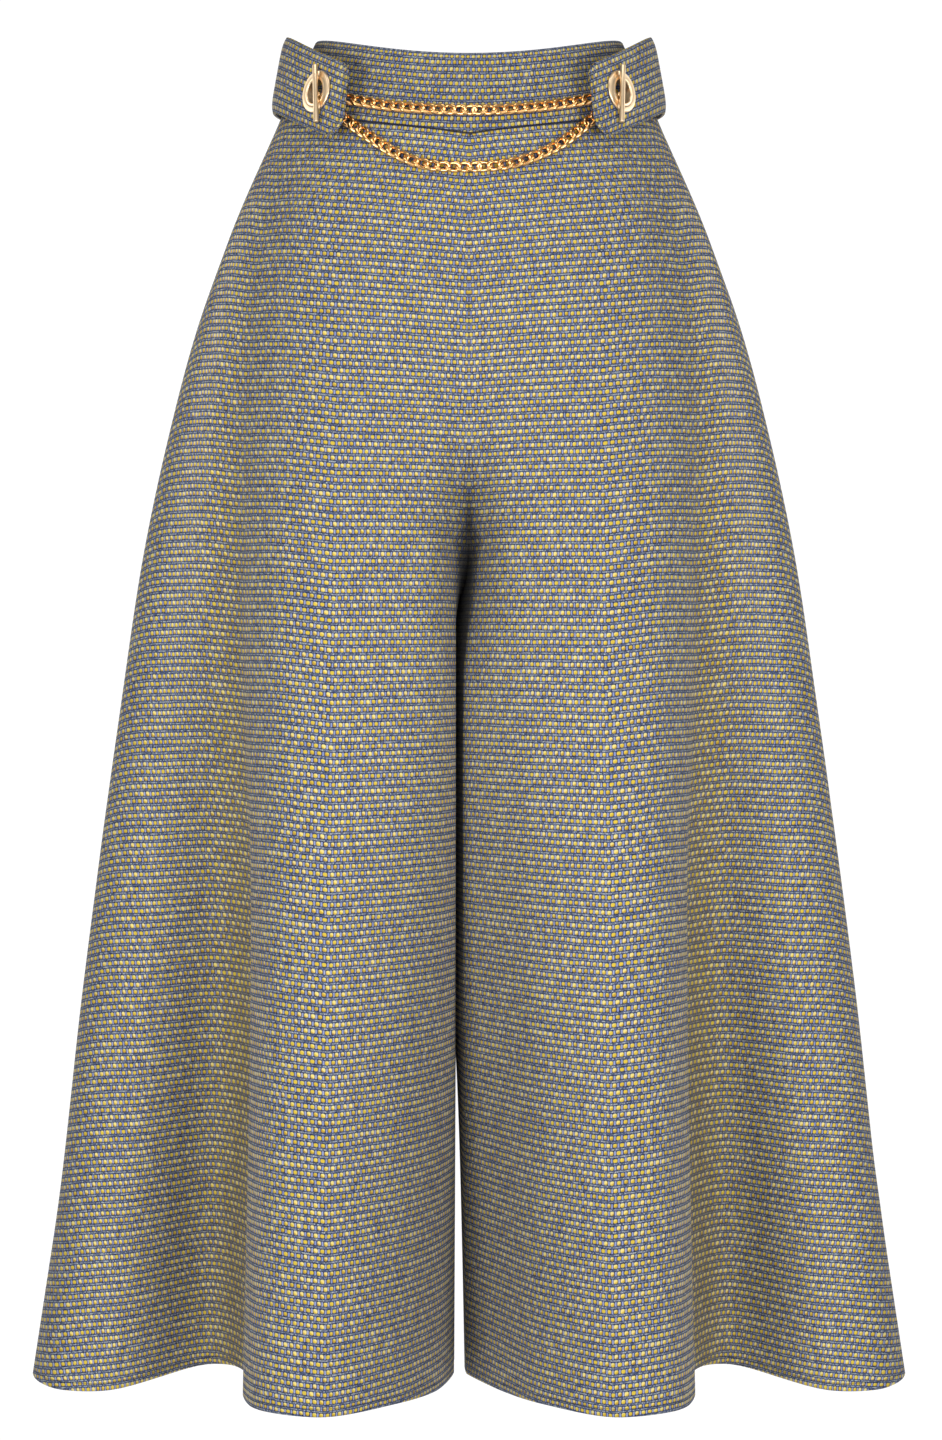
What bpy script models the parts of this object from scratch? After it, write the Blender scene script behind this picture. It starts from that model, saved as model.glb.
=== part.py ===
"""Wide-leg tweed culottes, as worn by nobody: a hollow, flared garment with a contoured waistband, a belt
whose two tab ends carry ring eyelets, and two chains held between toggles that sit in those rings.

Metres, +Z up. The front faces -Y and the wearer's right leg is at -X. The origin is at the waist, in the
middle of the waistband's height at the sides."""

import math
from collections import namedtuple

import bmesh
import bpy
import numpy as np
from mathutils import Matrix, Vector

MM = 0.001
SEAM_GAP = 0.3 * MM

# Cloth thicknesses
PANEL_CLOTH = 2.0 * MM
BAND_CLOTH = 2.5 * MM
BELT_CLOTH = 3.0 * MM

# Waistband: an oval cone. Its edges dip towards the centre front, the lower one to a point
BAND_RISE, BAND_FALL = 0.0235, 0.026
BAND_TOP_SIDE, BAND_TOP_FORE = 0.101, 0.094
BAND_FOOT_SIDE, BAND_FOOT_FORE = 0.1238, 0.105
TOP_DIP = 0.0185
SEAM_DIP = 0.022
SEAM_DIP_POWER = 1.2
DIP_REACH = 0.134
BAND_COLUMNS, BAND_ROWS = 28, 2

# Legs
HEM = -0.855
FORK_FRONT = -0.298
FORK_DROP = 0.040
UPPER_ROWS = 7
LOWER_ROWS = 11
LOWER_ROWS_CROWDED = 1.4
SPAN_STEPS = 3
WALL_STEPS = 4

Width = namedtuple("Width", "height half")
SIDE_LINE = (
    Width(-0.080, 0.1465),
    Width(-0.160, 0.1775),
    Width(-0.240, 0.1990),
    Width(-0.300, 0.2120),
    Width(-0.420, 0.2305),
    Width(-0.600, 0.2550),
    Width(-0.740, 0.2710),
    Width(-0.855, 0.2880),
)

# Each fold line runs down the cloth. It starts at an angle round the waist (0 at the centre, 90 at the side),
# then lies so many mm out from the centre and deep from the middle at each level, and lifts at the hem.
LEVELS = (-0.100, -0.220, -0.340, -0.560, -0.855)
HEM_LIFT_POWER = 3
Fold = namedtuple("Fold", "name waist_angle out deep hem_lift")
FRONT_FOLDS = (
    Fold("centre", 0, (0, 0, 0, 0, 0), (116, 120, 106, 82, 30), 4.0),
    Fold("corner", 9, (22, 22, 19, 21, 21), (117, 127, 128, 118, 86), 0.6),
    Fold("shoulder", 20, (49, 50, 47, 48, 47), (117, 133, 145, 149, 140), 0.0),
    Fold("crest", 32, (78, 83, 85, 88, 90), (110, 133, 151, 166, 176), -2.6),
    Fold("turn", 44, (105, 113, 117, 122, 127), (94, 117, 136, 148, 162), -1.4),
    Fold("flank", 54, (121, 133, 137, 138.5, 143.5), (78, 97, 109, 108, 112), -1.0),
    Fold("valley", 63, (134, 148, 150, 142, 147), (61, 78, 84, 66, 50), 9.0),
    Fold("edge", 71, (143, 164, 170, 166, 172), (46, 60, 68, 44, 8), 7.3),
    Fold("lobe", 78, (149.5, 178, 194, 212, 232), (31, 42, 56, 56, 60), -2.2),
    Fold("brow", 84.5, (153.5, 189, 211, 240, 266), (16, 22, 34, 38, 56), -2.2),
)
BACK_FOLDS = (
    Fold("centre", 0, (0, 0, 0, 0, 0), (123, 135, 122, 85, 32), 4.0),
    Fold("corner", 9, (21, 21, 19, 20, 20), (124, 142, 141, 128, 94), 1.0),
    Fold("shoulder", 20, (47, 48, 46, 47, 47), (122, 147, 156, 158, 150), 1.0),
    Fold("crest", 32, (76, 82, 85, 87, 88), (115, 145, 161, 175, 188), -2.0),
    Fold("turn", 44, (103, 111, 118, 124, 128), (99, 131, 148, 163, 178), 0.0),
    Fold("flank", 54, (120, 132, 141, 147, 151), (83, 111, 126, 133, 136), 2.0),
    Fold("valley", 63, (132, 148, 157, 158, 158), (67, 90, 104, 104, 84), 8.0),
    Fold("edge", 71, (142, 163, 176, 178, 182), (51, 70, 84, 88, 58), 6.0),
    Fold("lobe", 78, (149, 178, 196, 212, 228), (35, 48, 64, 84, 88), -1.0),
    Fold("brow", 84.5, (153.3, 189, 211, 240, 266), (18, 26, 38, 52, 72), -1.0),
)

# The gap between the legs at their front and back edges: its middle's lean and its half width, in mm
Gap = namedtuple("Gap", "height lean half")
GAP_LINE = (
    Gap(-0.298, 0.0, 0.15),
    Gap(-0.309, -0.9, 7.5),
    Gap(-0.328, -2.7, 5.7),
    Gap(-0.355, -4.0, 4.4),
    Gap(-0.390, -5.8, 2.6),
    Gap(-0.448, -6.1, 2.3),
    Gap(-0.600, -6.1, 2.6),
    Gap(-0.855, -5.9, 3.9),
)
# Deeper in, the inner walls hang almost shut, bowed to -X, and open only near the hem. They start in a saddle
# under the fork, whose first rows still lie on the centre seam by these shares
WALL_SHUT = 0.5 * MM
WALL_SHUT_TO = -0.70
WALL_HALF_AT_HEM = 4.2 * MM
WALL_OPENS_POWER = 0.7
WALL_CLOSES_POWER = 3
WALL_BOW = -6.5 * MM
WALL_BOW_AT_HEM = -1.2 * MM
SADDLE_ROWS = 6
SADDLE_POWER = 1.5
SADDLE_ON_SEAM = (1.0, 0.3)

# Belt: parallel to the waistband, standing off it at the sides, close behind
BELT_HALF_WIDTH = 0.0255
BELT_SIDE, BELT_FORE, BELT_AFT = 0.1272, 0.1130, 0.1040
BELT_FLARE_SIDE, BELT_FLARE_FORE, BELT_FLARE_AFT = 0.182, 0.120, 0.205
BELT_END_ANGLE = 35
BELT_DROP = 0.028
BELT_DROP_FROM = 92
BELT_DROP_POWER = 1.7
BELT_SPRING = 0.008
BELT_SPRING_FROM = 72
BELT_TOP_CORNER, BELT_FOOT_CORNER = 0.009, 0.015
BELT_COLUMNS = 44
BELT_CORNER_COLUMNS = 5
BELT_ROWS = 4

# Eyelets in the belt's ends, and the toggles that sit in them, slipped to the bore's inner lower side
EYELET_ANGLE = 46.6
RING_RADIUS = 0.0139
BORE_RADIUS = 0.0078
BARREL_RADIUS = 0.0086
WASHER_RADIUS = 0.0115
RING_SEAT = 0.4 * MM
RING_RIM = 1.2 * MM
RING_EDGE = 0.5 * MM
RING_DOME = 2.2 * MM
WASHER_SEAT = 0.9 * MM
WASHER_THICKNESS = 0.7 * MM
ROUND_STEPS = 28
SHARP_DEGREES = 40

BAR_RADIUS = 1.8 * MM
BAR_LENGTH = 0.040
BAR_STAND = 4.6 * MM
BAR_LEAN = 0.03
BAR_SLIP = 4.0 * MM
BAR_SAG = 3.7 * MM
STEM_RADIUS = 1.3 * MM
EYE_RADIUS = 3.2 * MM
EYE_THICKNESS = 1.5 * MM
EYE_DEPTH = 8.0 * MM
BAR_SIDES, STEM_SIDES, EYE_SIDES = 14, 12, 16
BAR_BEVEL, PLATE_BEVEL = 0.4, 0.3

# Chains, as plain tubes. Each hangs from eye to eye: free behind the belt's ends, then against the front.
# Places in mm; a point every so many diameters
CHAIN_DIAMETER = 5.5 * MM
CHAIN_BEVEL = 3
CHAIN_STEP = 2.2
CHAIN_FINENESS = 12
Spot = namedtuple("Spot", "x y z")
UPPER_CHAIN = (
    Spot(-85.5, -83.7, -19.6),
    Spot(-82.0, -84.9, -22.0),
    Spot(-77.6, -86.6, -23.9),
    Spot(-70.0, -89.4, -25.8),
    Spot(-62.0, -92.3, -27.4),
    Spot(-53.0, -95.7, -29.2),
    Spot(-44.0, -98.8, -30.4),
    Spot(-28.0, -103.2, -32.1),
    Spot(-12.0, -105.4, -33.1),
    Spot(3.5, -105.8, -33.4),
    Spot(20.0, -104.7, -32.9),
    Spot(39.0, -100.6, -31.0),
    Spot(58.0, -93.8, -28.2),
    Spot(68.0, -90.1, -26.2),
    Spot(77.5, -86.6, -23.9),
    Spot(82.0, -84.9, -22.0),
    Spot(85.5, -83.7, -19.6),
)
LOWER_CHAIN = (
    Spot(-86.8, -84.0, -26.0),
    Spot(-85.2, -84.9, -30.8),
    Spot(-82.0, -86.8, -34.8),
    Spot(-77.0, -89.9, -39.1),
    Spot(-68.5, -95.2, -45.8),
    Spot(-59.5, -101.0, -52.6),
    Spot(-50.5, -106.2, -58.8),
    Spot(-41.5, -110.0, -63.9),
    Spot(-32.5, -112.4, -67.6),
    Spot(-23.5, -113.5, -69.6),
    Spot(-14.5, -113.9, -70.4),
    Spot(-5.5, -113.9, -70.6),
    Spot(3.5, -113.8, -70.5),
    Spot(12.0, -113.8, -70.1),
    Spot(21.5, -113.4, -69.2),
    Spot(30.0, -112.5, -67.4),
    Spot(39.5, -110.6, -64.3),
    Spot(48.0, -107.8, -60.4),
    Spot(57.0, -103.1, -55.4),
    Spot(66.0, -97.4, -48.5),
    Spot(75.5, -90.9, -40.3),
    Spot(81.6, -87.0, -34.4),
    Spot(85.2, -84.9, -30.8),
    Spot(86.8, -84.0, -26.0),
)


def hermite(heights, values, height):
    """A smooth curve through values at falling heights."""
    heights = -np.array(heights)
    values = np.array(values, float)
    place = min(max(-height, heights[0]), heights[-1])
    slopes = np.gradient(values, heights)
    index = int(np.clip(np.searchsorted(heights, place) - 1, 0, len(heights) - 2))
    width = heights[index + 1] - heights[index]
    t = (place - heights[index]) / width
    start, end = values[index], values[index + 1]
    leave, arrive = slopes[index] * width, slopes[index + 1] * width
    return (
        (2 * t**3 - 3 * t**2 + 1) * start
        + (t**3 - 2 * t**2 + t) * leave
        + (3 * t**2 - 2 * t**3) * end
        + (t**3 - t**2) * arrive
    )


def curve_through(points, steps):
    """Points on a centripetal Catmull-Rom curve from the second point to the last but one."""
    found = []
    for before, start, end, after in zip(points, points[1:], points[2:], points[3:]):
        knots = [0.0]
        for a, b in ((before, start), (start, end), (end, after)):
            knots.append(knots[-1] + max((b - a).length, 1e-6) ** 0.5)
        t0, t1, t2, t3 = knots
        for step in range(steps):
            t = t1 + (t2 - t1) * step / steps
            a1 = before.lerp(start, (t - t0) / (t1 - t0))
            a2 = start.lerp(end, (t - t1) / (t2 - t1))
            a3 = end.lerp(after, (t - t2) / (t3 - t2))
            b1 = a1.lerp(a2, (t - t0) / (t2 - t0))
            b2 = a2.lerp(a3, (t - t1) / (t3 - t1))
            found.append(b1.lerp(b2, (t - t1) / (t2 - t1)))
    return found + [points[-2].copy()]


def seam_height(angle, is_front):
    """The waist seam's height at an angle from the centre front or back."""
    dip = SEAM_DIP * (1 - angle / 90) ** SEAM_DIP_POWER if is_front else 0.0
    return -BAND_FALL - dip


def top_height(angle, is_front):
    dip = TOP_DIP * math.cos(math.radians(angle)) ** 2 if is_front else 0.0
    return BAND_RISE - dip


def oval(angle, side, fore, is_front):
    """A point out and deep on an oval, at an angle from the centre front or back."""
    turn = math.radians(angle)
    return side * math.sin(turn), fore * math.cos(turn) * (-1 if is_front else 1)


def gap_edge(side, height):
    """How far across the inner front edge of a leg lies at a height: on the centre seam above the fork."""
    heights = [row.height for row in GAP_LINE]
    if height >= heights[0]:
        return side * SEAM_GAP / 2
    depths = [-h for h in heights]
    lean = np.interp(-height, depths, [row.lean for row in GAP_LINE]) * MM
    half = np.interp(-height, depths, [row.half for row in GAP_LINE]) * MM
    return lean + side * half


def row_heights():
    """The height of each row at the side: even down to the fork, then closer together just below it."""
    upper = np.linspace(-BAND_FALL, FORK_FRONT, UPPER_ROWS + 1)
    shares = (np.arange(1, LOWER_ROWS + 1) / LOWER_ROWS) ** LOWER_ROWS_CROWDED
    return list(upper) + [FORK_FRONT + (HEM - FORK_FRONT) * share for share in shares]


def fold_point(fold, side, is_front, height):
    """Where a fold line crosses the row that has this height at the side."""
    seam = seam_height(fold.waist_angle, is_front)
    waist_out, waist_deep = oval(fold.waist_angle, BAND_FOOT_SIDE, BAND_FOOT_FORE, is_front)
    near_waist = 1 - min((-BAND_FALL - height) / DIP_REACH, 1.0)
    lowered = height + (seam + BAND_FALL) * near_waist**2
    heights = (seam,) + LEVELS
    out = hermite(heights, (waist_out,) + tuple(mm * MM for mm in fold.out), lowered)
    sign = -1 if is_front else 1
    deep = hermite(heights, (waist_deep * sign,) + tuple(mm * MM for mm in fold.deep), lowered) * sign
    across = gap_edge(side, height) if fold.name == "centre" else side * out
    down = (-BAND_FALL - height) / (-BAND_FALL - HEM)
    below_seam = SEAM_GAP if height == -BAND_FALL else 0.0
    lifted = fold.hem_lift * MM * down**HEM_LIFT_POWER
    return Vector((across, deep, lowered - below_seam + lifted))


def side_point(side, height):
    heights = (-BAND_FALL,) + tuple(row.height for row in SIDE_LINE)
    halves = (BAND_FOOT_SIDE,) + tuple(row.half for row in SIDE_LINE)
    below_seam = SEAM_GAP if height == -BAND_FALL else 0.0
    return Vector((side * hermite(heights, halves, height), 0.0, height - below_seam))


def wall_point(edge, side, row, share):
    """A point of the inner wall, at a share of the way from a leg's front or back edge to its inseam."""
    turn = math.radians(90 * share)
    lower_row = row - UPPER_ROWS
    droop = FORK_DROP * math.sin(turn) * max(0.0, 1 - lower_row / SADDLE_ROWS) ** SADDLE_POWER
    height = edge.z - droop
    opened = max(0.0, (WALL_SHUT_TO - height) / (WALL_SHUT_TO - HEM)) ** WALL_OPENS_POWER
    half = WALL_SHUT + (WALL_HALF_AT_HEM - WALL_SHUT) * opened
    bow = WALL_BOW + (WALL_BOW_AT_HEM - WALL_BOW) * opened
    lean = (gap_edge(1, height) + gap_edge(-1, height)) / 2
    edge_half = abs(edge.x - lean)
    middle = lean + bow * math.sin(turn) ** 2
    across = middle + side * (half + (edge_half - half) * math.cos(turn) ** WALL_CLOSES_POWER)
    on_seam = SADDLE_ON_SEAM[lower_row] if lower_row < len(SADDLE_ON_SEAM) else 0.0
    across = across * (1 - on_seam) + side * SEAM_GAP / 2 * on_seam
    return Vector((across, edge.y * math.cos(turn), height))


def leg_surface(side):
    """The outer surface of one leg and its half of the hips, as points by (row, column), with no thickness.
    Columns run from the inseam round the front, the side and the back to the inseam again."""
    points = {}
    spans = len(FRONT_FOLDS)
    main_columns = 2 * spans * SPAN_STEPS
    for row, height in enumerate(row_heights()):
        front = [fold_point(fold, side, True, height) for fold in FRONT_FOLDS]
        back = [fold_point(fold, side, False, height) for fold in BACK_FOLDS]
        if row < UPPER_ROWS:
            before = Vector((-front[1].x, front[1].y, front[1].z))
            after = Vector((-back[1].x, back[1].y, back[1].z))
            walls = ()
        else:
            shares = [step / WALL_STEPS for step in range(1, WALL_STEPS + 1)]
            front_wall = [wall_point(front[0], side, row, share) for share in shares]
            back_wall = [wall_point(back[0], side, row, share) for share in shares]
            middle = (front_wall[-1] + back_wall[-1]) / 2
            front_wall[-1] = back_wall[-1] = middle
            before, after = front_wall[0], back_wall[0]
            walls = (front_wall, back_wall)
        controls = [before] + front + [side_point(side, height)] + back[::-1] + [after]
        for column, point in enumerate(curve_through(controls, SPAN_STEPS)):
            points[row, column] = point
        for wall, direction in zip(walls, (-1, 1)):
            edge_column = 0 if direction == -1 else main_columns
            for step, point in enumerate(wall, 1):
                points[row, edge_column + direction * step] = point.copy()
    return points


def quads_of(points):
    quads = [
        ((row, column), (row, column + 1), (row + 1, column + 1), (row + 1, column))
        for row, column in points
    ]
    return [quad for quad in quads if all(key in points for key in quad)]


def flipped(quad):
    """The quad facing the other way, still split along the same diagonal."""
    return [quad[0]] + quad[:0:-1]


def normals_of(points, side):
    """Outward normals. Those on the centre seams lie in the seam's plane, and the inseam's edges agree."""
    normals = {key: Vector() for key in points}
    for quad in quads_of(points):
        a, b, c, d = (points[key] for key in quad)
        normal = (c - a).cross(b - d) * side
        for key in quad:
            normals[key] += normal
    first = -WALL_STEPS
    last = 2 * len(FRONT_FOLDS) * SPAN_STEPS + WALL_STEPS
    for row in {row for row, column in points if column == first}:
        normals[row, first] = normals[row, last] = normals[row, first] + normals[row, last]
    for (row, column), normal in normals.items():
        if row < UPPER_ROWS and column in (0, last - WALL_STEPS):
            normal.x = 0.0
        normal.normalize()
    return normals


def cloth_material(name="tweed"):
    found = bpy.data.materials.get(name)
    return found or principled(name, (0.26, 0.27, 0.22), 0.85, 0.0)


def gold_material(name="gold"):
    found = bpy.data.materials.get(name)
    return found or principled(name, (0.80, 0.52, 0.28), 0.22, 1.0)


def principled(name, colour, roughness, metallic):
    material = bpy.data.materials.new(name)
    material.use_nodes = True
    shader = material.node_tree.nodes["Principled BSDF"]
    shader.inputs["Base Color"].default_value = (*colour, 1.0)
    shader.inputs["Roughness"].default_value = roughness
    shader.inputs["Metallic"].default_value = metallic
    material.diffuse_color = (*colour, 1.0)
    return material


def object_of(name, mesh, material):
    made = bpy.data.objects.new(name, mesh)
    bpy.context.scene.collection.objects.link(made)
    mesh.materials.append(material)
    mesh.shade_smooth()
    mesh.set_sharp_from_angle(angle=math.radians(SHARP_DEGREES))
    return made


def wall(name, points, normals, thickness, material):
    """A closed wall: the outer points, the same points moved in, and a rim along every open edge."""
    keys = sorted(points)
    index = {key: place for place, key in enumerate(keys)}
    outer = [points[key] for key in keys]
    inner = [points[key] - normals[key] * thickness for key in keys]
    quads = [[index[key] for key in quad] for quad in quads_of(points)]
    a, b, _, d = (outer[place] for place in quads[0])
    if (d - a).cross(b - a).dot(normals[keys[quads[0][0]]]) < 0:
        quads = [flipped(quad) for quad in quads]
    edges = {edge: None for quad in quads for edge in zip(quad, quad[1:] + quad[:1])}
    rims = [edge for edge in edges if edge[::-1] not in edges]
    count = len(keys)
    faces = [flipped(quad) for quad in quads]
    faces += [[place + count for place in quad] for quad in quads]
    faces += [[start, end, end + count, start + count] for start, end in rims]
    mesh = bpy.data.meshes.new(name)
    mesh.from_pydata([tuple(point) for point in outer + inner], [], faces)
    mesh.validate()
    return object_of(name, mesh, material)


def trimmed(points, edge, inside, rows):
    """Moves an edge column of a panel towards the next column by half a seam gap."""
    for row in rows:
        if (row, edge) in points:
            step = points[row, inside] - points[row, edge]
            points[row, edge] = points[row, edge] + step.normalized() * SEAM_GAP / 2


def leg_panels(side, hand):
    surface = leg_surface(side)
    normals = normals_of(surface, side)
    side_column = len(FRONT_FOLDS) * SPAN_STEPS
    first, last = -WALL_STEPS, 2 * side_column + WALL_STEPS
    rows = range(UPPER_ROWS + LOWER_ROWS + 1)
    for name, low, high in (("front", first, side_column), ("back", side_column, last)):
        points = {key: point.copy() for key, point in surface.items() if low <= key[1] <= high}
        trimmed(points, low, low + 1, rows)
        trimmed(points, high, high - 1, rows)
        wall(f"{name}_{hand}", points, normals, PANEL_CLOTH, cloth_material())


def band_point(angle, is_front, share, side):
    """A point of the waistband, from 0 at its top edge to 1 at the seam."""
    top_out, top_deep = oval(angle, BAND_TOP_SIDE, BAND_TOP_FORE, is_front)
    foot_out, foot_deep = oval(angle, BAND_FOOT_SIDE, BAND_FOOT_FORE, is_front)
    top = Vector((side * top_out, top_deep, top_height(angle, is_front)))
    foot = Vector((side * foot_out, foot_deep, seam_height(angle, is_front)))
    return top.lerp(foot, share)


def grid_normals(points, outward):
    """Normals of a grid by (row, column), turned to the outward side."""
    normals = {}
    for (row, column), point in points.items():
        above, below = points.get((row - 1, column), point), points.get((row + 1, column), point)
        left, right = points.get((row, column - 1), point), points.get((row, column + 1), point)
        normal = (right - left).cross(above - below).normalized()
        normals[row, column] = normal if normal.dot(outward(point)) > 0 else -normal
    return normals


def away_from_axis(point):
    return Vector((point.x, point.y, 0.0))


def waistband(is_front):
    """Half the waistband, from side seam to side seam."""
    rows = range(BAND_ROWS + 1)
    points = {}
    for column in range(BAND_COLUMNS + 1):
        turn = 180 * column / BAND_COLUMNS - 90
        for row in rows:
            share = row / BAND_ROWS
            points[row, column] = band_point(abs(turn), is_front, share, math.copysign(1, turn))
    normals = grid_normals(points, away_from_axis)
    for edge, inside in ((0, 1), (BAND_COLUMNS, BAND_COLUMNS - 1)):
        trimmed(points, edge, inside, rows)
        for row in rows:
            normals[row, edge].y = 0.0
            normals[row, edge].normalize()
    name = "waistband_front" if is_front else "waistband_back"
    return wall(name, points, normals, BAND_CLOTH, cloth_material())


def belt_point(angle, rise):
    """A point on the belt's outer face: its angle from centre front to +X, and its rise from the middle."""
    turn = angle if angle <= 180 else 360 - angle
    side = 1 if angle <= 180 else -1
    share = max(0.0, (BELT_DROP_FROM - turn) / (BELT_DROP_FROM - BELT_END_ANGLE))
    height = rise - BELT_DROP * share**BELT_DROP_POWER
    across, ahead = math.sin(math.radians(turn)), math.cos(math.radians(turn))
    is_front = turn < 90
    wide = BELT_SIDE - BELT_FLARE_SIDE * height
    deep = BELT_FORE - BELT_FLARE_FORE * height if is_front else BELT_AFT - BELT_FLARE_AFT * height
    springing = max(0.0, (BELT_SPRING_FROM - turn) / (BELT_SPRING_FROM - BELT_END_ANGLE))
    sprung = BELT_SPRING * springing**2
    return Vector((side * (wide + sprung) * across, -(deep + sprung) * ahead, height))


def belt_frame(angle):
    """The belt's outer face at an angle, on its middle line: its point, its normal and its direction up."""
    point = belt_point(angle, 0.0)
    along = belt_point(angle + 1, 0.0) - belt_point(angle - 1, 0.0)
    up = belt_point(angle, 0.005) - belt_point(angle, -0.005)
    normal = along.cross(up).normalized()
    if normal.dot(away_from_axis(point)) < 0:
        normal = -normal
    upright = (up - normal * up.dot(normal)).normalized()
    return point, normal, upright


def corner_cut(inset, radius):
    """How much a rounded corner takes off the width, this far in from the end."""
    return radius - math.sqrt(radius**2 - max(0.0, radius - inset) ** 2)


def belt_columns():
    """The belt's columns as (angle, top, foot), with the ends' corners rounded."""
    end_point = belt_point(BELT_END_ANGLE, 0.0)
    degree = (belt_point(BELT_END_ANGLE + 1, 0.0) - end_point).length
    ends = []
    for step in range(BELT_CORNER_COLUMNS):
        inset = BELT_FOOT_CORNER * (1 - math.cos(math.radians(90 * step / BELT_CORNER_COLUMNS)))
        top = BELT_HALF_WIDTH - corner_cut(inset, BELT_TOP_CORNER)
        foot = corner_cut(inset, BELT_FOOT_CORNER) - BELT_HALF_WIDTH
        ends.append((BELT_END_ANGLE + inset / degree, top, foot))
    start = BELT_END_ANGLE + BELT_FOOT_CORNER / degree
    turns = np.linspace(start, 360 - start, BELT_COLUMNS + 1)
    middle = [(turn, BELT_HALF_WIDTH, -BELT_HALF_WIDTH) for turn in turns]
    return ends + middle + [(360 - turn, top, foot) for turn, top, foot in reversed(ends)]


def belt():
    points = {}
    for column, (angle, top, foot) in enumerate(belt_columns()):
        for row in range(BELT_ROWS + 1):
            points[row, column] = belt_point(angle, top + (foot - top) * row / BELT_ROWS)
    normals = grid_normals(points, away_from_axis)
    made = wall("belt", points, normals, BELT_CLOTH, cloth_material())
    for side in (1, -1):
        cutter = eyelet_hole(side)
        cut = made.modifiers.new("eyelet_hole", "BOOLEAN")
        cut.operation = "DIFFERENCE"
        cut.object = cutter
    return made


def eyelet_place(side):
    """A matrix whose Z axis leaves the belt's face at an eyelet, with Y up the belt."""
    angle = EYELET_ANGLE if side > 0 else 360 - EYELET_ANGLE
    point, normal, up = belt_frame(angle)
    across = up.cross(normal)
    turned = Matrix((across, up, normal)).transposed().to_4x4()
    return Matrix.Translation(point) @ turned


def eyelet_hole(side):
    mesh = bpy.data.meshes.new("eyelet_hole")
    shape = bmesh.new()
    radius = BARREL_RADIUS + SEAM_GAP
    size = {"radius1": radius, "radius2": radius, "depth": 4 * BELT_CLOTH}
    bmesh.ops.create_cone(shape, cap_ends=True, segments=ROUND_STEPS, **size)
    shape.to_mesh(mesh)
    shape.free()
    made = bpy.data.objects.new("eyelet_hole", mesh)
    bpy.context.scene.collection.objects.link(made)
    made.matrix_world = eyelet_place(side)
    made.hide_render = True
    made.display_type = "WIRE"
    return made


def turned_solid(name, profile, material):
    """A ring turned about Z from a closed profile of (radius, height) points."""
    mesh = bpy.data.meshes.new(name)
    shape = bmesh.new()
    corners = [shape.verts.new((radius, 0.0, height)) for radius, height in profile]
    edges = [shape.edges.new(pair) for pair in zip(corners, corners[1:] + corners[:1])]
    bmesh.ops.spin(
        shape, geom=corners + edges, axis=(0, 0, 1), cent=(0, 0, 0), angle=math.tau, steps=ROUND_STEPS
    )
    bmesh.ops.remove_doubles(shape, verts=shape.verts, dist=1e-6)
    bmesh.ops.recalc_face_normals(shape, faces=shape.faces)
    shape.to_mesh(mesh)
    shape.free()
    return object_of(name, mesh, material)


def eyelet(side, hand):
    """A ring with a domed rim in front, a barrel through the belt and a washer behind."""
    behind = -BELT_CLOTH - WASHER_SEAT
    profile = (
        (BORE_RADIUS, behind - WASHER_THICKNESS),
        (BORE_RADIUS, RING_DOME - RING_EDGE),
        (BORE_RADIUS + RING_EDGE, RING_DOME),
        (BORE_RADIUS + 3 * RING_EDGE, RING_DOME),
        (RING_RADIUS - RING_EDGE, RING_SEAT + RING_RIM),
        (RING_RADIUS, RING_SEAT + RING_RIM - RING_EDGE),
        (RING_RADIUS, RING_SEAT),
        (BARREL_RADIUS, RING_SEAT),
        (BARREL_RADIUS, behind),
        (WASHER_RADIUS, behind),
        (WASHER_RADIUS, behind - WASHER_THICKNESS),
    )
    made = turned_solid(f"eyelet_{hand}", profile, gold_material())
    made.matrix_world = eyelet_place(side)
    return made


def round_bar(shape, length, radius, segments, place):
    """A round bar along Z with softly bevelled ends."""
    size = {"radius1": radius, "radius2": radius, "depth": length}
    found = bmesh.ops.create_cone(shape, cap_ends=True, segments=segments, matrix=place, **size)
    axis = place.to_3x3() @ Vector((0, 0, 1))
    middle = place.translation
    caps = set()
    for edge in {edge for corner in found["verts"] for edge in corner.link_edges}:
        centre = (edge.verts[0].co + edge.verts[1].co) / 2
        if abs(abs((centre - middle).dot(axis)) - length / 2) < 1e-6:
            caps.add(edge)
    offset = min(radius * BAR_BEVEL, length * PLATE_BEVEL)
    bmesh.ops.bevel(shape, geom=list(caps), offset=offset, segments=2, affect="EDGES", profile=0.5)


def bar_object(name, length, radius, segments, place):
    mesh = bpy.data.meshes.new(name)
    shape = bmesh.new()
    round_bar(shape, length, radius, segments, place)
    shape.to_mesh(mesh)
    shape.free()
    return object_of(name, mesh, gold_material())


def joined_to(made, name, length, radius, segments, place):
    """Unites another bar with an object and keeps it as a hidden helper."""
    other = bar_object(name, length, radius, segments, place)
    other.matrix_world = made.matrix_world.copy()
    other.hide_render = True
    other.display_type = "WIRE"
    union = made.modifiers.new(name, "BOOLEAN")
    union.operation = "UNION"
    union.object = other


def toggle_place(side):
    """As eyelet_place, but pulled in and down by the chains, and turned so that the bar stands upright."""
    place = eyelet_place(side)
    normal = place.to_3x3() @ Vector((0, 0, 1))
    upright = normal.cross(Vector((1, 0, -side * BAR_LEAN))).normalized()
    upright *= math.copysign(1, upright.z)
    across = upright.cross(normal)
    turned = Matrix((across, upright, normal)).transposed().to_4x4()
    pulled = across * side * BAR_SLIP + upright * BAR_SAG
    return Matrix.Translation(place.translation - pulled) @ turned


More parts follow.
